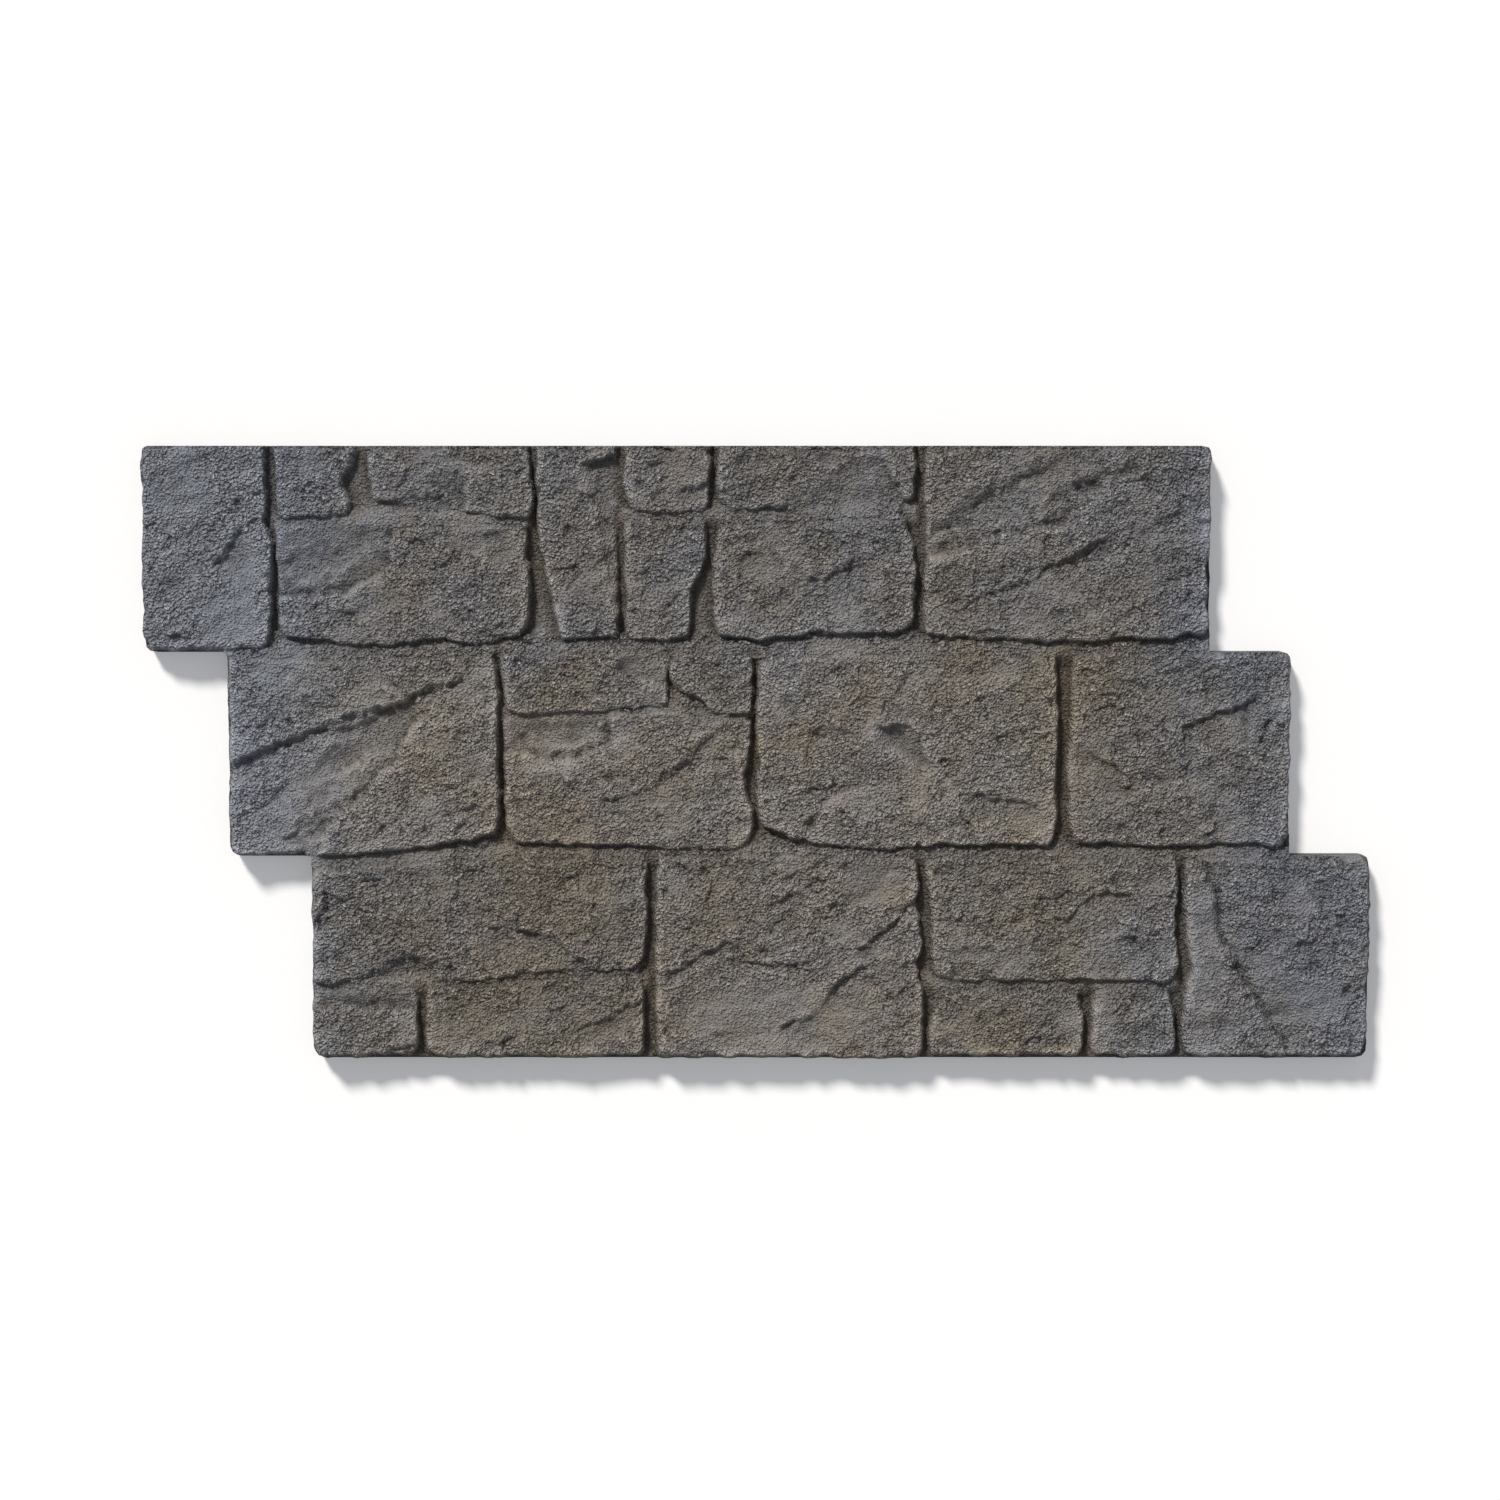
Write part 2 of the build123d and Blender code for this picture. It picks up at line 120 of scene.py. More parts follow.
# Breaks of the faces: factors on the depth, reach and smoothness that each of them states
BANK = 4.5
VALLEY_DEPTH, VALLEY_POWER = 1.5, 1.5
SCARP_DEPTH, SCARP_REACH, SCARP_SMOOTHNESS = 0.85, 1.7, 0.6
SCARP_LIP, SCARP_LIP_WIDTH = 0.2, 9.0
SLOPE_DEPTH, SCOOP_DEPTH, GROOVE_DEPTH = 1.5, 1.5, 1.3

# Compass directions on the face, for the low side of a break
E, W, N, S = (1, 0), (-1, 0), (0, 1), (0, -1)
NE, NW, SE, SW = (1, 1), (-1, 1), (1, -1), (-1, -1)

# Colours are linear RGB
WARM_DARK, WARM_LIGHT = (0.166, 0.142, 0.115, 1), (0.230, 0.205, 0.169, 1)
GREY_DARK, GREY_LIGHT = (0.149, 0.158, 0.180, 1), (0.209, 0.220, 0.250, 1)
JOINT_SHADE_AND_TINT = (0.80, 0.74, 0.65, 1)
WHITE = (1, 1, 1, 1)
FLOOR_WHITE = (0.88, 0.88, 0.88, 1)

# Cool spray: strength, and where it starts and is full, along X and for the top up the wall
COOL_LEFT, COOL_RIGHT, COOL_TOP = (1.2, -310, -590), (0.7, 270, 560), (0.28, 60, 130)
# Its cloud: strength, size in mm, a seed, the number of octaves and their gain
COOL_CLOUD = (0.25, 140, 111, 2, 0.5)

# Shifts of brightness
RIM_HIGHLIGHT_AND_BRUSH, DULL_TONE = 0.10, 0.28
BASE_LEVEL, LEAST_LEVEL, MORTAR_LEVEL = 1.27, 0.48, 0.88
HOLLOW_SHADE, SMOOTH_SHADE = -0.5, -0.2

# Clouds of colour: cells for each metre, detail and roughness
WARM_CLOUD, GREY_CLOUD, HUE_CLOUD = (7, 4, 0.6), (9, 4, 0.6), (14, 3, 0.6)
HUE_RANGE, HUE_SHIFT = 1.3, 0.16

# Grit: cells for each metre, detail and roughness of each size, and the share of it that smooth places lose
GRIT_NOISE = {"grains": (520, 1, 0.6), "pits": (170, 1, 0.5),
              "lumps": (110, 2, 0.6), "crumbs": (150, 3, 0.62)}
GRIT_GENTLE = {"grains": 0.45, "pits": 0.9, "lumps": 0.8, "sand": 0.8}
SAND_SCALE, GRIT_CONTRAST = 330, 9.0
BRIGHT_BEADS, BRIGHT_RISE = 0.72, 3.6

# What each size of grit adds to the height, and to the brightness: painted light and shade, partly
# dry-brushed paint
GRIT_HEIGHT = {"grains": 2.4, "pits": 0.8, "lumps": 2.4, "sand": 2.5, "crumbs": 2.2}
GRIT_SHADE_AND_BRUSH = {"grains": 2.0, "pits": 0.45, "sand": 0.5, "crest": 5.0, "crumbs": 0.4}


# Random fields
def perlin(x, y, size, seed):
    """Gradient noise, about -1 to 1: a random slope at each lattice point, blended with a quintic."""
    rng = np.random.RandomState(seed)
    turn = rng.uniform(0, 2 * np.pi, (256, 256)).astype(np.float32)
    gx, gy = np.cos(turn), np.sin(turn)
    u, v = x / size + 1000.0, y / size + 1000.0
    iu, iv = np.floor(u).astype(np.int64), np.floor(v).astype(np.int64)
    fu, fv = (u - iu).astype(np.float32), (v - iv).astype(np.float32)
    su = fu * fu * fu * (fu * (fu * 6 - 15) + 10)
    sv = fv * fv * fv * (fv * (fv * 6 - 15) + 10)

    def corner(a, b):
        i, j = (iu + a) & 255, (iv + b) & 255
        return gx[i, j] * (fu - a) + gy[i, j] * (fv - b)

    low = corner(0, 0) * (1 - su) + corner(1, 0) * su
    high = corner(0, 1) * (1 - su) + corner(1, 1) * su
    return (low * (1 - sv) + high * sv) * 1.5


def wander(field, x, y, layers):
    """A field with layers of gradient noise added to it."""
    for height, size, seed in layers:
        field = field + height * perlin(x, y, size, seed)
    return field


def fractal(x, y, size, seed, octaves=3, gain=0.5):
    """Gradient noise added up at halving sizes, each weaker by the gain, and scaled back to about -1 to 1."""
    total, weight, norm = 0.0, 1.0, 0.0
    for k in range(octaves):
        total = total + weight * perlin(x, y, size / 2 ** k, seed + 17 * k)
        norm += weight
        weight *= gain
    return total / norm


def ramp(at, strength_start_full):
    """A strength that grows from 0 at its start to full, along a coordinate."""
    strength, start, full = strength_start_full
    return strength * step(start, full, at)


def layer(x, y, height_and_noise):
    """A fractal layer in mm: its height times its noise."""
    height, *noise = height_and_noise
    return height * fractal(x, y, *noise)


def chips(x, y, height_size_seed):
    """Broken facets: the nearest of a jittered lattice of cells gives each point its own tilted plane."""
    height, size, seed = height_size_seed
    rng = np.random.RandomState(seed)
    jitter = rng.uniform(0.1, 0.9, (2, 128, 128)).astype(np.float32)
    tilt = rng.uniform(-1, 1, (3, 128, 128)).astype(np.float32)
    u, v = x / size + 500.0, y / size + 500.0
    iu, iv = np.floor(u).astype(np.int64), np.floor(v).astype(np.int64)
    best = np.full(u.shape, 9.0, np.float32)
    out = np.zeros(u.shape, np.float32)
    for a in (-1, 0, 1):
        for b in (-1, 0, 1):
            i, j = (iu + a) & 127, (iv + b) & 127
            du = (u - (iu + a) - jitter[0, i, j]).astype(np.float32)
            dv = (v - (iv + b) - jitter[1, i, j]).astype(np.float32)
            d = du * du + dv * dv
            near = d < best
            best = np.where(near, d, best)
            out = np.where(near, tilt[0, i, j] * du + tilt[1, i, j] * dv + 0.35 * tilt[2, i, j], out)
    return height * out


def step(a, b, x):
    """Smooth step from 0 at a to 1 at b, whichever is larger."""
    t = np.clip((x - a) / (b - a), 0, 1)
    return t * t * (3 - 2 * t)


def blur(field, radius):
    """Three box blurs each way, close to a Gaussian of that radius, in grid steps."""
    r = max(1, int(round(radius)))
    width = 2 * r + 1
    for axis in (0, 0, 0, 1, 1, 1):
        pad = [(0, 0), (0, 0)]
        pad[axis] = (r + 1, r)
        total = np.cumsum(np.pad(field, pad, mode="edge"), axis=axis, dtype=np.float64)
        total = np.moveaxis(total, axis, 0)
        field = np.moveaxis((total[width:] - total[:-width]) / width, 0, axis)
    return field


# Distances
def outline_distance(x, y, points):
    """Distance to a closed outline, negative outside it, and the unit way from the outline to the point. A
    point is inside where a line to its right crosses the outline an odd number of times."""
    pts = np.array(points, float)
    best = np.full(x.shape, 1e9)
    inside = np.zeros(x.shape, bool)
    way_x, way_y = np.zeros(x.shape), np.zeros(x.shape)
    for (ax, ay), (bx, by) in zip(pts, np.roll(pts, -1, axis=0)):
        ex, ey = bx - ax, by - ay
        t = np.clip(((x - ax) * ex + (y - ay) * ey) / (ex * ex + ey * ey), 0, 1)
        dx, dy = x - ax - t * ex, y - ay - t * ey
        d = np.hypot(dx, dy)
        near = d < best
        best = np.where(near, d, best)
        way_x, way_y = np.where(near, dx, way_x), np.where(near, dy, way_y)
        if ay != by:
            crosses = ((ay > y) != (by > y)) & (x < (bx - ax) * (y - ay) / (by - ay) + ax)
            inside ^= crosses
    length = np.maximum(best, 1e-6)
    return np.where(inside, best, -best), way_x / length, way_y / length


def line_distance(x, y, points, low):
    """Distance to an open line, positive on its low side, the share of its length at the nearest point, and
    how far past the line's ends the point lies. Where two legs are equally near, the one that the point is
    more square to decides the side."""
    pts = np.array(points, float)
    legs = np.diff(pts, axis=0)
    lengths = np.hypot(legs[:, 0], legs[:, 1])
    run = np.concatenate([[0], np.cumsum(lengths)])
    left = np.array([-(pts[-1] - pts[0])[1], (pts[-1] - pts[0])[0]])
    sign = 1.0 if left @ np.array(low, float) > 0 else -1.0
    key = np.full(x.shape, 1e9)
    dist, side, share, past = (np.zeros(x.shape) for _ in range(4))
    for (ax, ay), (ex, ey), length, at in zip(pts[:-1], legs, lengths, run):
        along = ((x - ax) * ex + (y - ay) * ey) / length ** 2
        t = np.clip(along, 0, 1)
        d = np.hypot(x - ax - t * ex, y - ay - t * ey)
        across = (ex * (y - ay) - ey * (x - ax)) / length
        near = d - 1e-3 * np.abs(across) < key
        key = np.where(near, d - 1e-3 * np.abs(across), key)
        dist = np.where(near, d, dist)
        side = np.where(near, np.sign(across), side)
        share = np.where(near, (at + t * length) / run[-1], share)
        past = np.where(near, np.abs(along - t) * length, past)
    past = np.where((share > 0) & (share < 1), 0, past)
    return dist * side * sign, share, past


# Forms of the faces: each takes coordinates in mm and returns a change of height and a mask of smoothness
def ends_faded(share, fade):
    """1 along a line, easing to 0 over the stated share of its length at each end."""
    start = step(0, fade[0], share) if fade[0] else 1.0
    end = step(0, fade[1], 1 - share) if fade[1] else 1.0
    return start * end


def ledge(points, low, drop, reach, smooth=0.5, fade=(0.12, 0.12), wall=0.8, bank=None):
    """A break line: its low side lies deeper and comes back to the face by a power of 1 - distance / reach.
    Where the low side looks up or left it is a valley, whose high side slopes down to a crisp foot over the
    bank's width. Elsewhere it is a scarp: a slight lip, then a wall as wide as its share of the drop."""
    if bank is None:
        bank = BANK if low[1] - low[0] > 0 else 0.0
    if bank:
        length, depth, power = reach, VALLEY_DEPTH * drop, VALLEY_POWER
    else:
        length, depth, power = SCARP_REACH * reach, SCARP_DEPTH * drop, 1.0 + reach / 60.0
        smooth = SCARP_SMOOTHNESS * smooth

    def form(x, y):
        d, share, _ = line_distance(x, y, points, low)
        keep = ends_faded(share, fade) * wander(1, x, y, BREAK_SWELL)
        back = np.clip(1 - d / length, 0, 1) ** power
        if bank:
            cut = np.where(d > 0.5, 1.0, np.clip(1 + (d - 0.5) / bank, 0, 1) ** 1.3)
            rise = 0.0
        else:
            cut = step(-0.8, max(1.0, wall * drop), d) ** 0.8
            rise = SCARP_LIP * depth * np.clip(1 + d / SCARP_LIP_WIDTH, 0, 1) ** 2 * (1 - cut)
        mask = smooth * step(-1.0, 2.0, d) * np.clip(2.2 - 2.2 * d / reach, 0, 1)
        return keep * (rise - depth * cut * back), keep * mask
    return form


def slope(points, low, rate, limit, smooth=0.7):
    """A face that falls away from a ridge line at a rate, levels off at a limit by an exponential, and stops
    soon past the line's ends."""
    def form(x, y):
        d, _, past = line_distance(x, y, points, low)
        keep = step(7, 0, past)
        fall = -SLOPE_DEPTH * limit * (1 - np.exp(-rate * np.maximum(d, 0) / limit))
        return fall * keep, smooth * keep * step(1.0, 10.0, d)
    return form


def scoop(x0, y0, rx, ry, depth, turn=0.0, smooth=0.8):
    """A smooth oval hollow, or a swelling where the depth is negative: depth * (1 - r squared) ** 1.5."""
    ca, sa = math.cos(math.radians(turn)), math.sin(math.radians(turn))

    def form(x, y):
        u = ((x - x0) * ca + (y - y0) * sa) / rx
        v = (-(x - x0) * sa + (y - y0) * ca) / ry
        r = np.clip(1 - u * u - v * v, 0, 1)
        return -SCOOP_DEPTH * depth * r ** 1.5, smooth * step(0, 0.6, r)
    return form


def groove(points, width, depth, smooth=0.0):
    """A crack or valley along a line: depth * (1 - distance / width) ** 1.5."""
    def form(x, y):
        d, share, _ = line_distance(x, y, points, N)
        near = np.clip(1 - np.abs(d) / width, 0, 1)
        keep = ends_faded(share, (0.15, 0.15))
        return -GROOVE_DEPTH * depth * keep * near ** 1.5, smooth * keep * near
    return form


# The stones
STONES = []

# Level joints: height up the wall, west end and east end
LEVEL_JOINTS = [(100, -520, 440), (-100, -440, 520), (228, -474, -222), (233, -136, -45), (234, -45, 155),
                (39, -256, -6), (-226, -440, -107), (-226, 160, 413)]


def stone(outline, lift, lean=(0, 0), relief=(), tone=0.0):
    """Face outline, face height at its middle, lean in mm for each 100 mm, relief and a shift of tone."""
    STONES.append((outline, lift, lean, relief, tone))


# top course
stone([(-598, 298), (-482, 298), (-483, 272), (-481, 247), (-485, 227), (-480, 217), (-476, 205),
       (-476, 188), (-478, 172), (-478, 150), (-479, 122), (-484, 104), (-594, 104), (-599, 120),
       (-599, 280)], 32.0, (-0.4, 0),
      [ledge([(-484, 224), (-492, 227), (-504, 223), (-512, 212), (-519, 198), (-530, 188), (-532, 178),
              (-524, 172), (-520, 158), (-521, 146)], E, 3.6, 46, 0.9, (0.05, 0.25)),
       scoop(-574, 223, 6, 6, 2.0),
       scoop(-560, 250, 40, 30, 1.2, smooth=0.7),
       scoop(-502, 185, 20, 38, 2.4, smooth=0.9),
       scoop(-512, 132, 36, 30, 1.0, smooth=0.9)], tone=0.22)
stone([(-470, 297), (-393, 297), (-397, 280), (-405, 272), (-405, 260), (-399, 248), (-401, 238),
       (-403, 234), (-465, 230), (-467, 236), (-469, 263)], 31.5, (0, 0),
      [slope([(-404, 230), (-400, 248), (-407, 262), (-403, 276), (-394, 300)], E, 0.7, 9)])
stone([(-379, 296), (-227, 297), (-226, 283), (-223, 255), (-224, 232), (-227, 230), (-258, 233),
       (-285, 238), (-376, 248)], 31.5, (0.4, 0),
      [slope([(-378, 277), (-330, 274), (-290, 272)], S, 0.16, 6, 0.5),
       ledge([(-281, 276), (-286, 258), (-285, 250), (-288, 238)], W, 3.5, 70, 0.4, (0.2, 0)),
       ledge([(-357, 250), (-330, 252), (-302, 253)], S, 2.2, 14),
       ledge([(-272, 254), (-262, 243), (-254, 232)], SW, 2.0, 16, 0.6, (0.2, 0))])
stone([(-470, 224), (-400, 223), (-305, 220), (-238, 222), (-231, 218), (-229, 198), (-226, 178),
       (-227, 155), (-228, 130), (-240, 115), (-275, 109), (-300, 113), (-325, 114), (-338, 110),
       (-363, 107), (-405, 108), (-425, 113), (-447, 115), (-462, 117), (-466, 138), (-468, 160)], 32.0,
       (0.3, 0),
      [ledge([(-475, 156), (-447, 157), (-413, 157), (-380, 172), (-362, 185), (-362, 205), (-350, 230)],
              NW, 6.0, 95, 0.9, (0, 0), bank=6),
       scoop(-420, 190, 62, 22, 3.0, 14, 0.9),
       scoop(-250, 200, 20, 20, 3.5),
       ledge([(-270, 213), (-255, 220), (-238, 218)], S, 2.0, 18)])
stone([(-214, 297), (-142, 295), (-140, 273), (-141, 205), (-140, 162), (-141, 116), (-163, 115),
       (-178, 113), (-193, 112), (-195, 122), (-200, 147), (-204, 163), (-209, 188), (-212, 205),
       (-214, 230), (-215, 272)], 32.0, (-0.4, 0),
      [slope([(-174, 276), (-162, 238), (-155, 205), (-148, 175), (-144, 150)], E, 0.5, 9, 0.7),
       ledge([(-158, 276), (-148, 276), (-136, 273)], S, 4.0, 16, 0.5, (0.1, 0)),
       ledge([(-190, 222), (-183, 223), (-176, 221)], S, 2.5, 14),
       ledge([(-193, 207), (-184, 196), (-177, 184)], NE, 1.8, 14),
       groove([(-172, 182), (-180, 167), (-188, 159)], 3.5, 1.8)])
stone([(-130, 295), (-52, 295), (-52, 272), (-52, 242), (-58, 238), (-68, 238), (-85, 236), (-98, 236),
       (-118, 237), (-127, 243), (-131, 255)], 31.0, (0, 0),
      [ledge([(-86, 255), (-72, 260), (-56, 263)], S, 3.6, 24, 0.8, (0.3, 0))])
stone([(-130, 228), (-55, 228), (-55, 198), (-58, 182), (-64, 172), (-69, 158), (-70, 138), (-72, 117),
       (-87, 112), (-113, 112), (-130, 115)], 31.0, (0, 0.5),
      [ledge([(-127, 162), (-113, 152), (-100, 138), (-85, 150), (-72, 158)], S, 2.2, 34, 0.4)])
stone([(-40, 295), (148, 295), (148, 255), (140, 247), (100, 245), (82, 241), (60, 240), (7, 240),
       (-28, 239), (-39, 248)], 32.0, (0, 0),
      [slope([(22, 252), (32, 260), (50, 269), (70, 278), (90, 288), (112, 298)], SE, 0.24, 9, 0.7),
       scoop(66, 287, 20, 9, 2.2)])
stone([(-40, 222), (-10, 225), (32, 226), (73, 227), (115, 229), (132, 235), (140, 225), (143, 212),
       (148, 198), (148, 138), (145, 125), (137, 121), (107, 119), (73, 119), (48, 121), (33, 114),
       (10, 115), (-3, 112), (-23, 116), (-40, 118), (-45, 138), (-44, 172), (-43, 198)], 32.0, (0.2, 0),
      [ledge([(-24, 188), (-14, 194), (-3, 198), (25, 198)], S, 2.6, 24, 0.9),
       ledge([(26, 196), (20, 180), (18, 167), (7, 162)], W, 1.6, 20, 0.8),
       scoop(2, 182, 24, 15, 1.4),
       ledge([(30, 190), (40, 180), (48, 172), (67, 172), (72, 178), (87, 181), (98, 186), (120, 185)], S,
              3.2, 45, 0.35),
       ledge([(25, 162), (10, 150), (-2, 141)], SE, 2.2, 34, 0.9)])
stone([(161, 296), (434, 297), (438, 290), (437, 265), (438, 205), (435, 182), (436, 155), (435, 142),
       (437, 128), (435, 117), (418, 119), (395, 113), (375, 115), (352, 114), (318, 111), (285, 112),
       (252, 112), (225, 114), (185, 116), (163, 118), (160, 155), (161, 175), (163, 190), (162, 230),
       (161, 263)], 33.0, (0.2, 0.2),
      [ledge([(182, 141), (198, 145), (210, 153), (222, 160), (235, 162), (252, 167), (265, 171),
              (277, 182), (295, 190), (307, 198), (320, 207), (350, 216)], SE, 3.2, 80, 0.3),
       ledge([(156, 190), (202, 203), (218, 212), (243, 217), (268, 223), (293, 225), (318, 250),
              (332, 258), (360, 260)], NW, 4.2, 60, 0.45, (0, 0.2), bank=9),
       groove([(160, 203), (172, 215), (193, 225), (212, 231)], 7, 2.6),
       ledge([(246, 270), (266, 273), (287, 278)], S, 1.8, 16),
       groove([(305, 256), (340, 270), (372, 281)], 13, 3.0, 0.6),
       groove([(424, 225), (441, 225)], 4, 3.0),
       groove([(212, 156), (316, 190), (423, 237)], 15, 2.6),
       groove([(160, 214), (242, 258), (310, 291)], 16, 2.6),
       groove([(262, 128), (350, 150), (432, 186)], 13, 1.6)])

# middle course
stone([(-518, 96), (-440, 92), (-350, 93), (-275, 96), (-262, 94), (-259, 77), (-258, 50), (-259, -7),
       (-257, -40), (-258, -57), (-260, -77), (-280, -82), (-300, -84), (-320, -89), (-347, -93),
       (-370, -94), (-388, -97), (-516, -97), (-518, -60), (-517, -13), (-516, 48)], 33.5, (0.1, 0),
      [ledge([(-520, -9), (-497, 3), (-475, 13), (-455, 20), (-437, 27), (-415, 35), (-397, 42),
              (-380, 48), (-358, 50), (-342, 58), (-323, 67), (-305, 73), (-290, 83), (-272, 97)], S, 8.0,
              46, 0.6, (0, 0.1), 1.0),
       ledge([(-314, 66), (-325, 43), (-338, 35), (-343, 25), (-353, 10), (-357, -3), (-370, -17),
              (-380, -28), (-392, -43), (-405, -52), (-417, -65), (-428, -77), (-430, -87), (-436, -102)],
              NW, 5.5, 75, 0.9, (0.2, 0), bank=6),
       scoop(-396, 2, 96, 24, 3.4, 43, 0.9),
       groove([(-496, -55), (-475, -43), (-456, -26)], 7, 2.2),
       scoop(-277, -14, 15, 20, 3.0),
       ledge([(-290, -53), (-276, -50), (-256, -50)], S, 2.6, 24, 0.5, (0.2, 0)),
       groove([(-465, -84), (-450, -76), (-435, -69)], 5, 1.8),
       scoop(-510, 47, 6, 6, 2.2)], tone=0.18)
stone([(-250, 98), (-91, 99), (-92, 80), (-93, 52), (-96, 48), (-117, 47), (-142, 45), (-158, 42),
       (-200, 42), (-228, 40), (-237, 39), (-244, 42), (-249, 60), (-251, 77)], 31.5, (0, 0),
      [ledge([(-146, 84), (-125, 79), (-108, 75), (-90, 69)], N, 2.8, 26, 0.9, (0.2, 0))])
stone([(-88, 97), (-11, 98), (-10, 93), (-11, 47), (-14, 41), (-33, 40), (-48, 43), (-57, 54), (-67, 60),
       (-77, 65), (-86, 74), (-89, 88)], 31.5, (0, 0))
stone([(-250, 36), (-150, 38), (-108, 42), (-83, 42), (-58, 37), (-45, 34), (-12, 34), (-11, 27),
       (-13, 10), (-18, -23), (-15, -40), (-10, -57), (-12, -82), (-23, -92), (-37, -93), (-67, -92),
       (-100, -91), (-133, -88), (-158, -87), (-202, -88), (-230, -86), (-240, -84), (-244, -75),
       (-248, -60), (-248, -17), (-249, 0)], 32.0, (0, 0),
      [ledge([(-255, 3), (-233, 3), (-208, -3), (-187, -5), (-172, 2), (-158, 8), (-148, 13), (-147, 27),
              (-153, 44)], NW, 5.4, 80, 0.9, (0, 0), bank=6),
       scoop(-196, 20, 48, 15, 3.0, 6, 0.9),
       ledge([(-33, 33), (-45, 22), (-58, 10), (-67, -3), (-77, -8), (-92, -18), (-100, -21), (-108, -32),
              (-120, -37), (-130, -37), (-152, -45), (-153, -60)], SE, 2.2, 48, 0.3, (0, 0.1)),
       ledge([(-152, -53), (-130, -54), (-110, -52)], S, 2.2, 24, 0.9),
       ledge([(-66, -40), (-77, -53), (-83, -60)], SE, 1.8, 14),
       ledge([(-199, -52), (-175, -58), (-160, -60), (-148, -66)], S, 1.6, 16)], tone=0.2)
stone([(0, 88), (22, 95), (52, 94), (102, 97), (190, 97), (285, 93), (287, 52), (288, 27), (287, -7),
       (285, -32), (287, -57), (285, -80), (280, -88), (235, -87), (202, -89), (178, -87), (157, -89),
       (127, -92), (102, -92), (78, -90), (52, -85), (35, -82), (18, -75), (3, -68), (-1, -48), (-1, -23),
       (1, -7), (-3, 27), (-1, 52)], 33.5, (0.1, 0.1),
      [ledge([(112, 31), (132, 29), (148, 30), (158, 17), (162, 0), (178, -11)], SW, 5.0, 20, 0.9),
       scoop(141, 8, 40, 14, 4.2, -38, 0.9),
       groove([(22, 62), (43, 22), (78, 18), (104, 17)], 9, 2.2, 0.4),
       ledge([(196, -38), (215, -37), (227, -42), (245, -45), (260, -46), (281, -53)], S, 3.6, 40, 0.4),
       groove([(108, -30), (85, -32), (68, -40), (58, -57), (48, -70), (42, -82)], 9, 1.8),
       scoop(106, -62, 36, 26, -1.6, 0, 0.0)], tone=0.16)
stone([(306, 99), (512, 97), (518, 90), (518, 62), (519, 23), (518, -27), (518, -48), (515, -57),
       (516, -80), (512, -90), (477, -86), (430, -88), (397, -90), (363, -89), (335, -85), (308, -86),
       (305, -78), (303, -57), (302, -23), (303, 7), (305, 17)], 32.5, (-0.2, 0),
      [ledge([(410, 8), (412, 27), (422, 33), (430, 37), (445, 43), (458, 43), (465, 48), (478, 55),
              (489, 60)], SE, 5.2, 60, 0.4),
       ledge([(487, 58), (483, 47), (480, 30), (474, 6)], W, 2.6, 22, 0.8),
       ledge([(411, 19), (413, 2), (424, -9)], E, 2.4, 20, 0.7),
       groove([(499, 37), (495, 24), (491, 10)], 5, 3.4),
       ledge([(300, 11), (317, 13), (320, 8), (332, 0), (338, -5), (348, -12), (355, -17), (357, -28),
              (363, -28), (368, -35), (371, -46)], SW, 3.8, 70, 0.9, (0, 0.15)),
       ledge([(341, -77), (355, -69), (367, -75)], S, 1.8, 13),
       groove([(459, -25), (448, -43), (439, -65)], 5, 1.8),
       scoop(393, -27, 6, 6, 2.0)])

# bottom course
stone([(-437, -112), (-400, -110), (-300, -106), (-200, -102), (-113, -104), (-114, -140), (-113, -173),
       (-116, -190), (-119, -204), (-128, -209), (-145, -212), (-180, -212), (-217, -214), (-242, -217),
       (-260, -221), (-292, -222), (-317, -223), (-375, -223), (-400, -225), (-420, -226), (-438, -224),
       (-439, -157)], 32.0, (0, 0.3),
      [slope([(-408, -222), (-383, -215), (-367, -208), (-350, -200), (-333, -197), (-318, -203)], S, 0.6,
              8, 0.3),
       ledge([(-284, -167), (-267, -163), (-260, -167), (-247, -168), (-235, -173), (-217, -175),
              (-200, -178), (-185, -193), (-173, -203), (-161, -214)], SW, 3.8, 44, 0.75, (0.1, 0)),
       groove([(-427, -130), (-422, -147), (-430, -162), (-434, -180)], 5, 3.2)])
stone([(-437, -232), (-343, -232), (-339, -240), (-339, -290), (-346, -296), (-435, -296), (-439, -287),
       (-440, -248)], 31.5, (0, 0),
      [ledge([(-445, -249), (-400, -247), (-335, -250)], N, 3.2, 24, 0.8, (0, 0)),
       ledge([(-368, -296), (-362, -287), (-338, -284)], S, 3.0, 14, 0.5, (0, 0))])
stone([(-325, -228), (-260, -226), (-200, -221), (-120, -217), (-117, -230), (-117, -290), (-123, -296),
       (-320, -296), (-326, -288), (-327, -240)], 32.0, (-0.2, 0),
      [ledge([(-113, -244), (-132, -247), (-142, -252), (-147, -259), (-168, -264), (-187, -275),
              (-197, -278)], S, 3.2, 34, 0.9, (0, 0.2))])
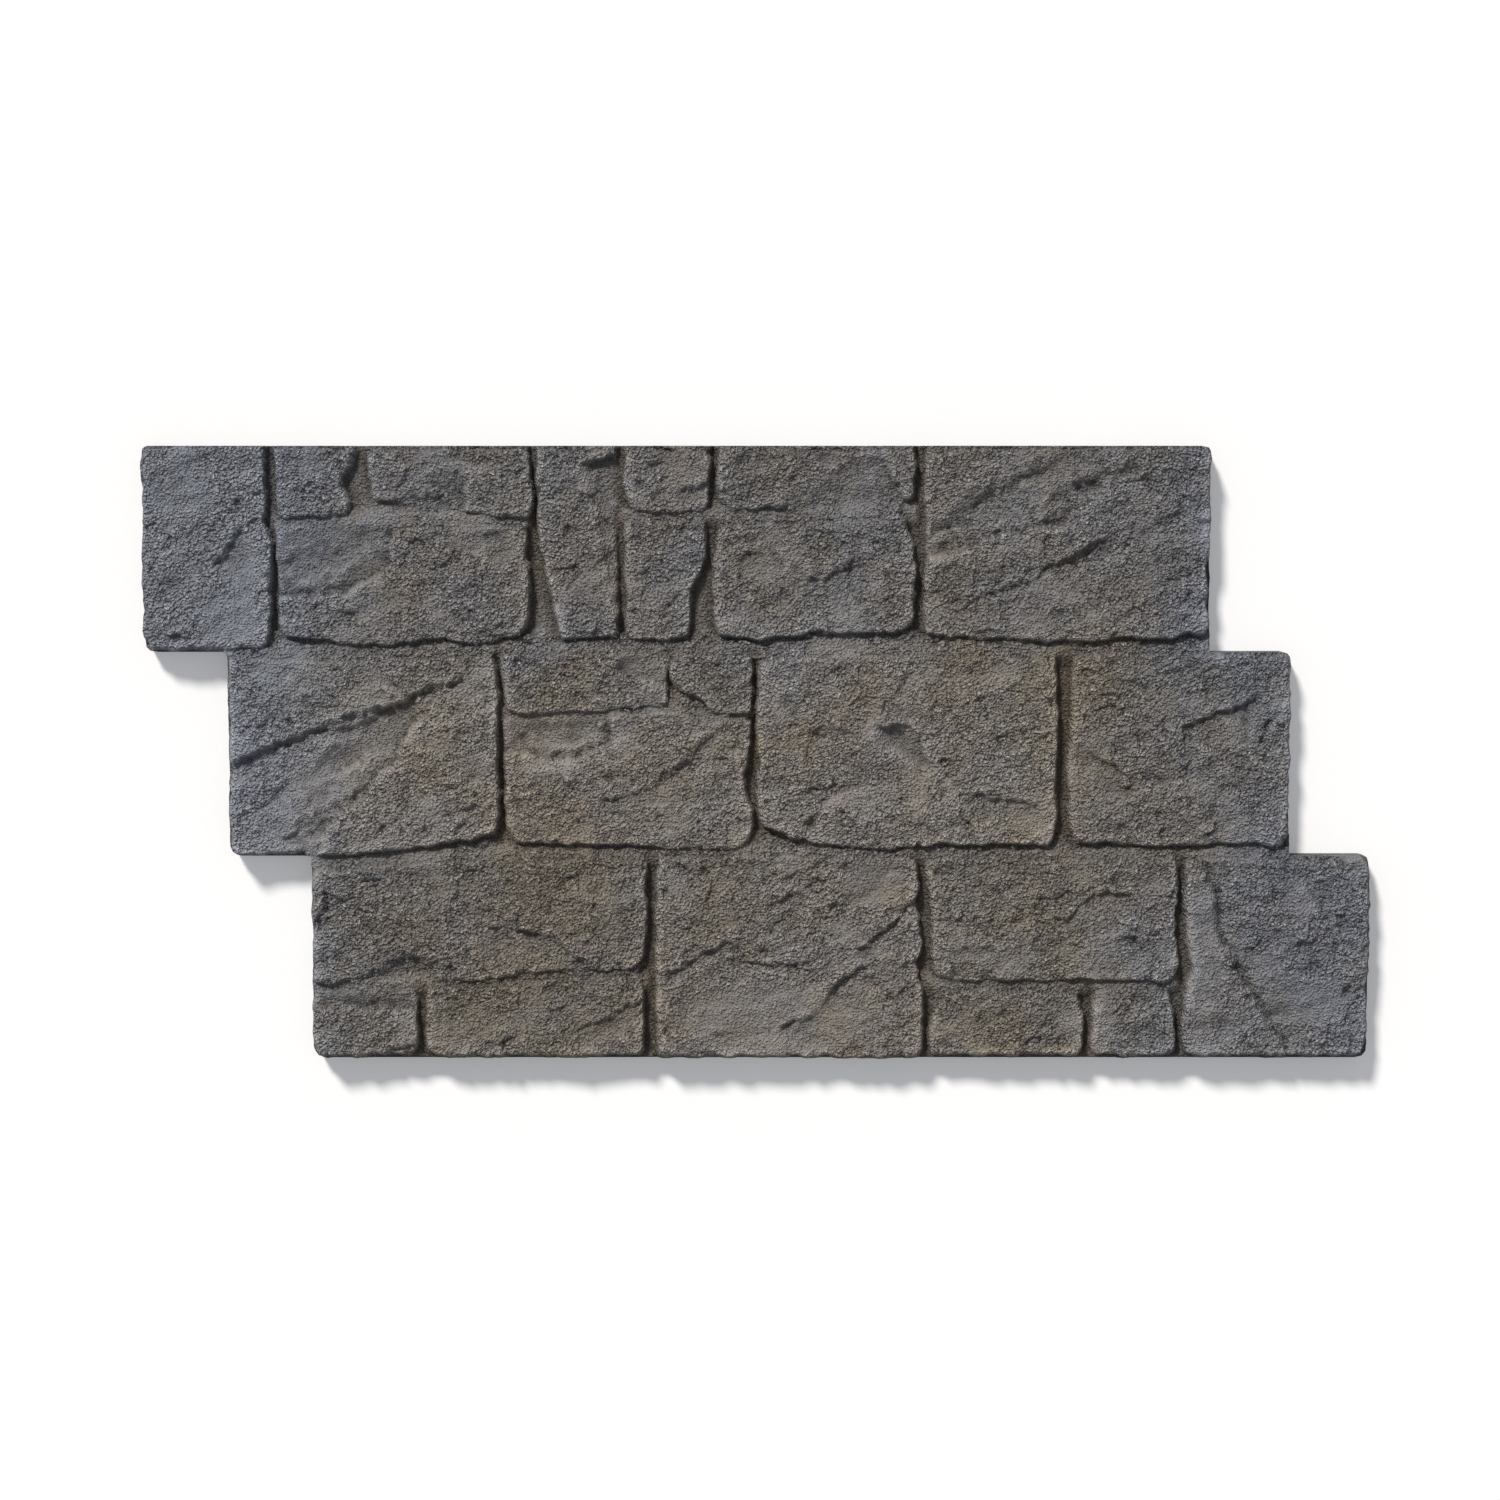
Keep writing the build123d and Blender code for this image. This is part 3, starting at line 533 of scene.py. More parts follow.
stone([(-99, -101), (-20, -99), (80, -100), (148, -101), (152, -112), (152, -132), (151, -145),
       (153, -160), (156, -183), (155, -197), (151, -205), (154, -222), (158, -232), (158, -248),
       (157, -292), (150, -297), (-95, -297), (-100, -290), (-101, -200)], 33.0, (-0.1, 0.1),
      [scoop(20, -262, 120, 44, 0.6, 0, 0.85),
       scoop(112, -128, 42, 26, 2.6, 20, 0.9),
       ledge([(-104, -214), (-78, -209), (-62, -200), (-57, -192), (-45, -190), (-33, -183), (-22, -187),
              (-12, -202), (13, -207), (38, -202), (58, -197)], S, 3.6, 48, 0.4, (0, 0.15)),
       ledge([(4, -151), (20, -145), (30, -137), (44, -129)], SE, 3.2, 28, 0.5),
       ledge([(36, -110), (47, -123), (55, -133), (61, -148)], SW, 2.8, 24, 0.4),
       ledge([(10, -160), (22, -173), (28, -183), (38, -195)], NE, 1.8, 20, 0.4),
       ledge([(156, -140), (145, -148), (137, -153), (133, -162), (122, -170), (112, -177), (107, -187),
              (95, -190), (100, -203), (93, -213), (80, -221), (70, -228), (65, -235), (60, -247),
              (53, -257), (35, -260), (23, -267), (13, -281)], SE, 4.6, 52, 0.35, (0, 0.08)),
       ledge([(98, -264), (108, -260), (119, -258)], S, 1.6, 16),
       groove([(58, -110), (66, -104), (74, -98)], 5, 1.8)], tone=0.1)
stone([(163, -103), (404, -103), (407, -123), (407, -145), (404, -157), (407, -190), (408, -210),
       (404, -221), (396, -226), (380, -222), (350, -222), (318, -220), (293, -222), (235, -222),
       (202, -222), (178, -220), (171, -212), (170, -197), (171, -170), (168, -140), (164, -123)], 32.0,
       (0, 0),
      [ledge([(208, -121), (227, -127), (237, -135), (252, -150)], SW, 2.4, 22, 0.4),
       ledge([(281, -160), (297, -157), (307, -155), (327, -138), (340, -133), (365, -137)], S, 3.2, 30,
              0.85),
       scoop(205, -196, 34, 11, 2.6),
       ledge([(162, -162), (185, -160), (203, -161)], S, 2.0, 18, 0.4, (0, 0.2))])
stone([(171, -252), (183, -242), (195, -233), (227, -231), (277, -233), (298, -235), (310, -239),
       (314, -247), (316, -257), (316, -273), (313, -290), (308, -296), (172, -296), (168, -290),
       (167, -277), (170, -265)], 31.5, (0.3, -0.3))
stone([(330, -232), (388, -231), (398, -234), (403, -248), (406, -265), (406, -290), (401, -296),
       (333, -296), (327, -290), (328, -250)], 31.0, (0, 0))
stone([(417, -103), (590, -103), (597, -112), (598, -147), (597, -158), (597, -207), (597, -240),
       (598, -267), (596, -278), (592, -296), (421, -296), (416, -282), (416, -265), (417, -248),
       (420, -237), (422, -222), (426, -213), (424, -200), (422, -183), (419, -165), (417, -140),
       (418, -123)], 33.0, (0, 0.2),
      [ledge([(428, -99), (438, -115), (445, -128), (447, -140), (449, -160), (453, -170), (458, -187),
              (467, -202), (473, -217), (478, -228), (488, -240), (497, -253), (507, -268), (513, -282),
              (520, -300)], E, 4.4, 26, 0.4, (0, 0)),
       scoop(436, -200, 24, 90, 0.6, smooth=0.8),
       groove([(420, -90), (438, -115), (446, -134), (449, -160), (458, -187), (470, -210), (478, -228),
               (497, -253), (513, -282), (526, -310)], 7, 5.0),
       scoop(540, -243, 50, 26, 2.0, 10, 0.9),
       ledge([(500, -259), (522, -252), (550, -249)], N, 1.6, 12),
       scoop(577, -237, 8, 8, 3.2),
       ledge([(538, -120), (537, -132), (547, -150), (549, -165)], E, 3.2, 18, 0.5),
       groove([(526, -211), (538, -216), (548, -209)], 5, 2.2)])


# Height field
def course_ends(y):
    """Left and right end of the stepped outline at a height up the wall, one step further right for each
    course down."""
    upper, lower = COURSE_HEIGHT / 2, -COURSE_HEIGHT / 2
    left = -HALF_X + COURSE_STEP * (y < upper) + COURSE_STEP * (y < lower)
    right = COURSE_LENGTH - HALF_X + COURSE_STEP * (y <= upper) + COURSE_STEP * (y <= lower)
    return left, right


def face_texture(x, y, wx, wy):
    """What every face carries over its own forms: swells, lumps and broken facets; long soft ripples that
    rise to the right; a fine grain with small pits; and a mask of worn patches. wx and wy are coordinates
    that wander."""
    cx, cy = wander(wx, x, y, CHIP_WANDER_X), wander(wy, x, y, CHIP_WANDER_Y)
    rough = (layer(x, y, FACE_SWELL) + layer(wx, wy, FACE_LUMPS) + chips(cx, cy, LARGE_CHIPS)
             + chips(wx, wy, SMALL_CHIPS))
    east, north = RIPPLE_WAY
    along, across = east * x + north * y, east * y - north * x
    ripple = layer(RIPPLE_STRETCH * along, wander(across, x, y, RIPPLE_WANDER), FACE_RIPPLE)
    pits = np.clip(fractal(x, y, *PIT_NOISE) - PIT_RARITY, 0, 1)
    grain = layer(wx, wy, FACE_GRAIN) - PIT_DEPTH * pits
    patch = step(0.0, 0.32, fractal(wx, wy, *PATCH_NOISE))
    return rough, ripple, grain, patch


def mortar_bed(x, y, wy):
    """Height of the mortar: a slightly uneven bed, and a rounded ridge along each level joint."""
    bed = MORTAR + layer(x, y, BED_SWELL) + layer(x, y, BED_GRIT)
    for line, west, east in LEVEL_JOINTS:
        inside = step(west - RIDGE_END, west + RIDGE_END, x) * step(east + RIDGE_END, east - RIDGE_END, x)
        bed = bed + RIDGE * inside * step(RIDGE_REACH, RIDGE_CREST, np.abs(wy - line))
    return bed


def stone_outline(outline):
    """Corner points of a face. Its right edge moves out, unless it is an end of the course."""
    pts = np.array(outline, float)
    right = pts[:, 0].max()
    if right < course_ends(pts[:, 1].mean())[1] - 20:
        pts[:, 0] += RIGHT_SHIFT * step(right - 60, right - 12, pts[:, 0])
    return pts


def window_round(pts):
    """The part of the grid that a stone reaches, as two slices."""
    low = np.maximum(0, (pts.min(axis=0) - WINDOW_MARGIN + (HALF_X, HALF_Y)) / GRID).astype(int)
    high = ((pts.max(axis=0) + WINDOW_MARGIN + (HALF_X, HALF_Y)) / GRID).astype(int) + 1
    return slice(low[0], high[0]), slice(low[1], high[1])


def edge_drop(x, y, d, way_x, way_y):
    """How far the surface lies below the face near a stone's edge: a quarter-round arris inside the outline,
    and a straight draft outside it. Edges that look down or right are crisp and steep, and the upper ones
    are gentle. way_x and way_y lead from the outline to the point."""
    above = blur((step(0.35, 0.95, way_y) * (d < 0)).astype(float), 1)
    facing = np.where(d < 0, -1.0, 1.0)
    crisp = np.maximum(step(0.35, 0.9, way_y * facing), step(0.35, 0.9, -way_x * facing))
    crisp = blur(crisp, 1)
    radius = (ARRIS + layer(x, y, ARRIS_SWELL)) * (1 - ARRIS_CRISPNESS * crisp)
    inner = np.clip((radius - d) / radius, 0, 1)
    arris = ARRIS_FLATNESS * radius * (1 - np.sqrt(np.maximum(1 - inner ** 2, 0)))
    draft = DRAFT + CRISP_DRAFT * crisp + (UPPER_DRAFT - DRAFT) * above
    return np.where(d < 0, radius * (ARRIS_FLATNESS - UPPER_SOFTNESS * above) - draft * d, arris)


def edge_tone(x, y, d, way_y):
    """A painted highlight along the lower and side edges, partly a dry-brushed paint on the arris, and a
    darker band along the upper one.
    """
    upper = step(0.3, 0.8, -way_y) * (d > 0)
    rim = step(0.5, 3.0, d) * step(10.0, 4.0, d) * (0.6 + 0.8 * perlin(x, y, 13, 151)) * (1 - upper)
    dull = blur(upper * step(16.0, 4.0, d), 1)
    return RIM_HIGHLIGHT_AND_BRUSH * rim - DULL_TONE * dull


def relief_field():
    """Height of the face over the whole grid, and the masks that the material reads. The mortar lies lowest.
    Each stone is laid over it, blended by the smooth maximum of the two heights."""
    xs = np.linspace(-HALF_X, HALF_X, int(2 * HALF_X / GRID) + 1)
    ys = np.linspace(-HALF_Y, HALF_Y, int(2 * HALF_Y / GRID) + 1)
    x, y = np.meshgrid(xs, ys, indexing="ij")
    wx, wy = wander(x, x, y, EDGE_WANDER_X), wander(y, x, y, EDGE_WANDER_Y)
    fx, fy = wander(x, x, y, BREAK_WANDER_X), wander(y, x, y, BREAK_WANDER_Y)
    rough, ripple, grain, patch = face_texture(x, y, wx, wy)
    crumbly = step(-0.05, 0.35, fractal(wx, wy, *CRUMBLY_NOISE))
    z = mortar_bed(x, y, wy)
    smooth = np.full(x.shape, BED_SMOOTH)
    flank, face, tone = (np.zeros(x.shape) for _ in range(3))

    for outline, lift, lean, relief, shade in STONES:
        pts = stone_outline(outline)
        win = window_round(pts)
        px, py = x[win], y[win]
        d, way_x, way_y = outline_distance(wx[win], wy[win], pts)
        d = blur(d, 2)
        # mortar beside a left or right edge belongs to an upright joint
        beside = step(0.55, 0.95, np.abs(way_x)) * step(16, 3, -d) * (d < 0)
        flank[win] = np.maximum(flank[win], beside)

        mid = pts.mean(axis=0)
        h = lift - FACE_DROP + lean[0] * (px - mid[0]) / 100 + lean[1] * (py - mid[1]) / 100
        worn = np.zeros(px.shape)
        for form in relief:
            change, mask = form(fx[win], fy[win])
            h = h + change
            worn = np.maximum(worn, mask)
        worn = np.maximum(worn, PATCH_SMOOTH * patch[win])
        h = h + ripple[win] + rough[win] * (1 - WORN_ROUGH * worn) + grain[win] * (1 - WORN_GRAIN * worn)
        h = h - edge_drop(px, py, d, way_x, way_y)

        old = z[win]
        t = np.clip(0.5 + 0.5 * (h - old) / BLEND, 0, 1)
        z[win] = old * (1 - t) + h * t + BLEND * t * (1 - t)
        smooth[win] = smooth[win] * (1 - t) + worn * t
        face[win] = np.maximum(face[win], t * step(-2.0, 3.0, d))
        crumbly[win] = crumbly[win] * (1 - t * worn)
        tone[win] = np.where(t > 0.5, shade + edge_tone(px, py, d, way_y), tone[win])

    flank = blur(flank, 2) * (1 - face)
    z = z - UPRIGHT_DEPTH * flank
    # the highest spots level off under the roof
    z = ROOF - ROOF_SOFTNESS * np.logaddexp(0, (ROOF - z) / ROOF_SOFTNESS)
    # painted shade: darker where the surface lies below its blurred surroundings, in hollows and creases
    near, wide = np.clip((blur(z, 4) - z) / 2.5, -1, 1), np.clip((blur(z, 12) - z) / 4.0, -1, 1)
    masks = {"smooth": smooth, "face": face, "cool": cool_spray(x, y), "joint": flank,
             "crumbly": crumbly * (0.25 + 0.75 * face), "hollow": 0.65 * near + 0.5 * wide, "tone": tone}
    return x, y, z, masks


def cool_spray(x, y):
    """Mask of the cool grey spray: strong at the left end, less at the right end and along the top."""
    return ramp(x, COOL_LEFT) + ramp(x, COOL_RIGHT) + ramp(y, COOL_TOP) + layer(x, y, COOL_CLOUD)


# The skin
def rounded(away, radius):
    """How far a quarter circle draws an edge in, at a distance from the corner that it rounds."""
    return radius - np.sqrt(radius ** 2 - np.clip(radius - away, 0, radius) ** 2)


def ragged_edge(y, layers):
    """How far an end is drawn in along Y: layers of noise, each read along one row of its own."""
    wave = RAG_MEAN
    for height, size, seed, row in layers:
        wave = wave + height * perlin(y, y * 0 + row, size, seed)
    return np.clip(wave, 0, RAG_MOST)


def end_waver(x, y, left, right):
    """How far the outline is drawn in at the ends, as a shift of X that dies out inwards: ragged along Y,
    with a quarter circle at each free corner."""
    upper, lower = COURSE_HEIGHT / 2, -COURSE_HEIGHT / 2
    foot = np.where(y >= upper, y - upper, np.where(y >= lower, y - lower, y + HALF_Y))
    head = np.where(y > upper, HALF_Y - y, np.where(y > lower, upper - y, lower - y))
    top_left = np.where(y > COURSE_HEIGHT, rounded(HALF_Y - y, TOP_LEFT), 0)
    bottom_right = np.where(y < -COURSE_HEIGHT, rounded(y + HALF_Y, BOTTOM_RIGHT), 0)
    in_left = ragged_edge(y, LEFT_RAG) + (rounded(foot, LEFT_FOOT) + top_left)
    in_right = ragged_edge(y, RIGHT_RAG) + (rounded(head, RIGHT_HEAD) + bottom_right)
    fade_left = np.clip(1 - (x - left) / RAG_REACH, 0, 1)
    fade_right = np.clip(1 - (right - x) / RAG_REACH, 0, 1)
    return in_left * fade_left - in_right * fade_right


def rim_loop(quads, count):
    """The outline of a sheet of quads, as vertex numbers in order: directed edges that only one quad has."""
    edges = np.concatenate([quads[:, [k, (k + 1) % 4]] for k in range(4)]).astype(np.int64)
    there, back = edges[:, 0] * count + edges[:, 1], edges[:, 1] * count + edges[:, 0]
    rim = edges[~np.isin(there, back)]
    follow = dict(zip(rim[:, 0].tolist(), rim[:, 1].tolist()))
    loop = [int(rim[0, 0])]
    while follow[loop[-1]] != loop[0]:
        loop.append(follow[loop[-1]])
    return np.array(loop)


def panel_mesh():
    """Closed skin: the face grid cut to the stepped outline, walls down from its rim, and the back's loop."""
    x, y, z, masks = relief_field()
    cx, cy = (x[:-1, :-1] + x[1:, 1:]) / 2, (y[:-1, :-1] + y[1:, 1:]) / 2
    left, right = course_ends(cy)
    keep = (cx > left) & (cx < right)
    index = np.arange(x.size).reshape(x.shape)
    corners = (index[:-1, :-1], index[1:, :-1], index[1:, 1:], index[:-1, 1:])
    quads = np.stack([corner[keep] for corner in corners], 1)
    loop = rim_loop(quads, x.size)

    left, right = course_ends(np.clip(y, -HALF_Y + 0.1, HALF_Y - 0.1))
    verts = np.stack([(x + end_waver(x, y, left, right)).ravel(), y.ravel(), z.ravel()], 1)
    used = np.zeros(x.size, bool)
    used[quads.ravel()] = True
    new = np.cumsum(used) - 1
    verts, quads, loop = verts[used], new[quads], new[loop]

    rings, walls, upper = [verts], [quads], loop
    for share in WALL_LEVELS:
        ring = verts[loop] * (1, 1, share)
        lower = np.arange(len(loop)) + sum(len(r) for r in rings)
        rings.append(ring)
        walls.append(np.stack([upper, lower, np.roll(lower, -1), np.roll(upper, -1)], 1))
        upper = lower
    return np.concatenate(rings) / MM, np.concatenate(walls).astype(np.int32), upper[::-1], z, masks


def make_mesh(name, verts, quads, cap):
    """A mesh from arrays of vertices and four-sided faces, and one flat face that closes the back."""
    mesh = bpy.data.meshes.new(name)
    corners = np.concatenate([quads.ravel(), cap]).astype(np.int32)
    starts = (np.arange(len(quads) + 1) * 4).astype(np.int32)
    mesh.vertices.add(len(verts))
    mesh.vertices.foreach_set("co", verts.astype(np.float32).ravel())
    mesh.loops.add(len(corners))
    mesh.loops.foreach_set("vertex_index", corners)
    mesh.polygons.add(len(starts))
    mesh.polygons.foreach_set("loop_start", starts)
    mesh.update(calc_edges=True)
    mesh.validate()
    return mesh


def thinned(piece, triangles, total):
    """The piece's mesh with fewer triangles, taken where the surface is flattest."""
    thin = piece.modifiers.new("thin", "DECIMATE")
    thin.ratio = triangles / total
    slim = bpy.data.meshes.new_from_object(piece.evaluated_get(bpy.context.evaluated_depsgraph_get()))
    piece.modifiers.clear()
    return slim


def nearest_grid(values, half, count):
    """Grid numbers nearest to coordinates in mm."""
    return np.clip(np.round((values + half) / GRID).astype(int), 0, count - 1)


def build_panel():
    """The panel as one object, thinned to the triangle budget, with its masks as attributes."""
    verts, quads, cap, height, masks = panel_mesh()
    panel = bpy.data.objects.new(PIECE, make_mesh(PIECE, verts, quads, cap))
    bpy.context.scene.collection.objects.link(panel)
    mesh = thinned(panel, FACE_TRIANGLES, len(quads) * 2 + len(cap))
    panel.data = mesh
    mesh.name = PIECE

    co = np.empty(len(mesh.vertices) * 3, np.float32)
    mesh.vertices.foreach_get("co", co)
    co = co.reshape(-1, 3) * MM
    at = (nearest_grid(co[:, 0], HALF_X, height.shape[0]), nearest_grid(co[:, 1], HALF_Y, height.shape[1]))
    # the end walls below the rim carry no marks of the face
    wall = co[:, 2] < WALL_TOP * height[at]
    for label, field in masks.items():
        value = np.where(wall & (label in ("hollow", "tone")), 0, field[at])
        mesh.attributes.new(label, "FLOAT", "POINT").data.foreach_set("value", value.astype(np.float32))

    # thinning may push a rim point out a little: back into the panel's own box
    co[:, 1] = np.clip(co[:, 1], -HALF_Y, HALF_Y)
    mesh.vertices.foreach_set("co", (co / MM).ravel())
    normals = np.empty(len(mesh.polygons) * 3, np.float32)
    mesh.polygons.foreach_get("normal", normals)
    # all but the flat back is shaded smooth
    mesh.polygons.foreach_set("use_smooth", normals.reshape(-1, 3)[:, 2] > -0.9)
    return panel


# Materials
def node(tree, kind, **values):
    """A new node with its settings, and with input values where the name starts with in_."""
    made = tree.nodes.new(kind)
    for key, value in values.items():
        if key.startswith("in_"):
            made.inputs[key[3:].replace("_", " ")].default_value = value
        else:
            setattr(made, key, value)
    return made


def feed(tree, socket, value):
    """Give an input socket a link or a plain value."""
    if isinstance(value, bpy.types.NodeSocket):
        tree.links.new(value, socket)
    elif value is not None:
        socket.default_value = value


def math_node(tree, operation, a, b=None, c=None, clamp=False):
    """A math node whose inputs are sockets or numbers."""
    made = node(tree, "ShaderNodeMath", operation=operation, use_clamp=clamp)
    for socket, value in zip(made.inputs, (a, b, c)):
        feed(tree, socket, value)
    return made.outputs[0]


def mix_color(tree, factor, a, b, blend="MIX"):
    """A colour mix whose inputs are sockets, numbers or colours."""
    made = node(tree, "ShaderNodeMix", data_type="RGBA", blend_type=blend)
    for socket, value in ((made.inputs["Factor"], factor), (made.inputs[6], a), (made.inputs[7], b)):
        feed(tree, socket, value)
    return made.outputs[2]


def attribute(tree, name):
    """One of the panel's masks."""
    return node(tree, "ShaderNodeAttribute", attribute_name=name).outputs["Fac"]


def noise_texture(tree, vector, scale, detail, rough):
    """A noise between 0 and 1, its scale in cells for each metre."""
    made = node(tree, "ShaderNodeTexNoise", in_Scale=scale, in_Detail=detail, in_Roughness=rough)
    tree.links.new(vector, made.inputs["Vector"])
    return made.outputs["Fac"]


def weighted_sum(tree, fields, weights):
    """The fields times their weights, added up."""
    total = None
    for name, weight in weights.items():
        if total is None:
            total = math_node(tree, "MULTIPLY", fields[name], weight)
        else:
            total = math_node(tree, "MULTIPLY_ADD", fields[name], weight, total)
    return total


def grit_group():
    """Sandy grit as a height, and as painted light and shade on it: grains, worm-like pits, lumps, beads of
    sand and crumbs, each of its own size, weaker where the surface is smooth. High grit is lighter and low
    grit darker: a painted highlight and painted shade, and partly a dry-brushed paint. Crumbs lie only where
    the Crumbly mask allows them."""
    group = bpy.data.node_groups.new("sandy_grain", "ShaderNodeTree")
    sockets = (("Vector", "INPUT", "NodeSocketVector"), ("Smooth", "INPUT", "NodeSocketFloat"),
               ("Crumbly", "INPUT", "NodeSocketFloat"), ("Height", "OUTPUT", "NodeSocketFloat"),
               ("Tint", "OUTPUT", "NodeSocketFloat"))
    for name, way, kind in sockets:
        group.interface.new_socket(name, in_out=way, socket_type=kind)
    into = group.nodes.new("NodeGroupInput")
    out = group.nodes.new("NodeGroupOutput")
    vector = into.outputs["Vector"]

    def signed(name):
        return math_node(group, "SUBTRACT", noise_texture(group, vector, *GRIT_NOISE[name]), 0.5)

    def gentled(name, value):
        """Weaker by its share where the surface is smooth."""
        gentle = math_node(group, "MULTIPLY_ADD", into.outputs["Smooth"], -GRIT_GENTLE[name], 1.0)
        return math_node(group, "MULTIPLY", value, gentle)

    beads = node(group, "ShaderNodeTexVoronoi", feature="F1", in_Scale=SAND_SCALE, in_Randomness=1.0)
    group.links.new(vector, beads.inputs["Vector"])
    chance = node(group, "ShaderNodeSeparateColor")
    group.links.new(beads.outputs["Color"], chance.inputs["Color"])
    sand = gentled("sand", math_node(group, "SUBTRACT", 0.5, beads.outputs["Distance"]))
    # a few of the beads are bright: painted highlights on crests, partly a dry-brushed paint
    bright = math_node(group, "SUBTRACT", chance.outputs[0], BRIGHT_BEADS)
    bright = math_node(group, "MULTIPLY", bright, BRIGHT_RISE, clamp=True)
    # pits lie where a noise crosses its middle value
    pits = math_node(group, "ABSOLUTE", signed("pits"))
    pits = math_node(group, "MULTIPLY", pits, GRIT_CONTRAST, clamp=True)
    # crumbs are plateaus with steep edges
    crumbs = math_node(group, "MULTIPLY_ADD", signed("crumbs"), GRIT_CONTRAST, 0.5, clamp=True)
    fields = {"grains": gentled("grains", signed("grains")),
              "pits": gentled("pits", math_node(group, "SUBTRACT", pits, 1.0)),
              "lumps": gentled("lumps", signed("lumps")),
              "sand": sand,
              "crumbs": math_node(group, "MULTIPLY", crumbs, into.outputs["Crumbly"]),
              "crest": math_node(group, "MULTIPLY", bright, math_node(group, "MAXIMUM", sand, 0.0))}
    group.links.new(weighted_sum(group, fields, GRIT_HEIGHT), out.inputs["Height"])
    group.links.new(weighted_sum(group, fields, GRIT_SHADE_AND_BRUSH), out.inputs["Tint"])
    return group


def stone_material():
    """Dark grey cast skin: sandy grit, smooth worn patches, painted shade in hollows, painted highlights on
    high spots that are partly a dry-brushed paint, and a cool grey spray towards the ends."""
    mat = bpy.data.materials.new("cast_stone")
    mat.use_nodes = True
    tree = mat.node_tree
    links = tree.links
    shader = tree.nodes["Principled BSDF"]
    shader.inputs["Roughness"].default_value = 0.82
    shader.inputs["Specular IOR Level"].default_value = 0.2
    place = tree.nodes.new("ShaderNodeTexCoord").outputs["Object"]
    smooth, face = attribute(tree, "smooth"), attribute(tree, "face")

    grit = node(tree, "ShaderNodeGroup", node_tree=grit_group())
    links.new(place, grit.inputs["Vector"])
    links.new(smooth, grit.inputs["Smooth"])
    links.new(attribute(tree, "crumbly"), grit.inputs["Crumbly"])
    bump = node(tree, "ShaderNodeBump", in_Distance=0.0020, in_Strength=1.0)
    links.new(grit.outputs["Height"], bump.inputs["Height"])
    links.new(bump.outputs["Normal"], shader.inputs["Normal"])

    warm = mix_color(tree, noise_texture(tree, place, *WARM_CLOUD), WARM_DARK, WARM_LIGHT)
    grey = mix_color(tree, noise_texture(tree, place, *GREY_CLOUD), GREY_DARK, GREY_LIGHT)
    cloud = math_node(tree, "SUBTRACT", noise_texture(tree, place, *HUE_CLOUD), 0.5)
    hue = math_node(tree, "MULTIPLY_ADD", cloud, HUE_RANGE, HUE_SHIFT)
    colour = mix_color(tree, math_node(tree, "ADD", attribute(tree, "cool"), hue, clamp=True), warm, grey)
    # painted shade across the upright joints, darker over their whole floor, with a brown tint of the mortar
    colour = mix_color(tree, attribute(tree, "joint"), colour, JOINT_SHADE_AND_TINT, "MULTIPLY")

    # brightness: painted highlights on high grains, partly dry-brushed paint; painted shade in hollows;
    # smooth spots and the mortar are darker
    cavity = math_node(tree, "MULTIPLY", attribute(tree, "hollow"), HOLLOW_SHADE)
    smooth_face = math_node(tree, "MULTIPLY", smooth, face)
    level = math_node(tree, "ADD", grit.outputs["Tint"], cavity)
    level = math_node(tree, "ADD", level, math_node(tree, "ADD", attribute(tree, "tone"), BASE_LEVEL))
    level = math_node(tree, "MULTIPLY_ADD", smooth_face, SMOOTH_SHADE, level)
    level = math_node(tree, "MAXIMUM", level, LEAST_LEVEL)
    share = math_node(tree, "MULTIPLY_ADD", face, 1 - MORTAR_LEVEL, MORTAR_LEVEL)
    level = math_node(tree, "MULTIPLY", level, share)
    shade = node(tree, "ShaderNodeCombineColor")
    for k in range(3):
        links.new(level, shade.inputs[k])
    links.new(mix_color(tree, 1.0, colour, shade.outputs[0], "MULTIPLY"), shader.inputs["Base Color"])
    return mat


def seen_directly(tree):
    """1 for rays from the camera, from gloss and through glass, and 0 for those that light the panel."""
    path = tree.nodes.new("ShaderNodeLightPath")
    seen = path.outputs["Is Camera Ray"]
    for ray in ("Is Glossy Ray", "Is Transmission Ray"):
        seen = math_node(tree, "MAXIMUM", seen, path.outputs[ray])
    return seen


def floor_material():
    """Plain white floor: a little light of its own for the camera, so that it reads as white."""
    mat = bpy.data.materials.new("floor_white")
    mat.use_nodes = True
    tree = mat.node_tree
    tree.nodes.clear()
    out = tree.nodes.new("ShaderNodeOutputMaterial")
    base = node(tree, "ShaderNodeBsdfDiffuse", in_Color=FLOOR_WHITE)
    glow = node(tree, "ShaderNodeEmission", in_Color=WHITE)
    both = tree.nodes.new("ShaderNodeAddShader")
    feed(tree, glow.inputs["Strength"], math_node(tree, "MULTIPLY", seen_directly(tree), 0.2))
    feed(tree, both.inputs[0], base.outputs[0])
    feed(tree, both.inputs[1], glow.outputs[0])
    feed(tree, out.inputs["Surface"], both.outputs[0])
    return mat


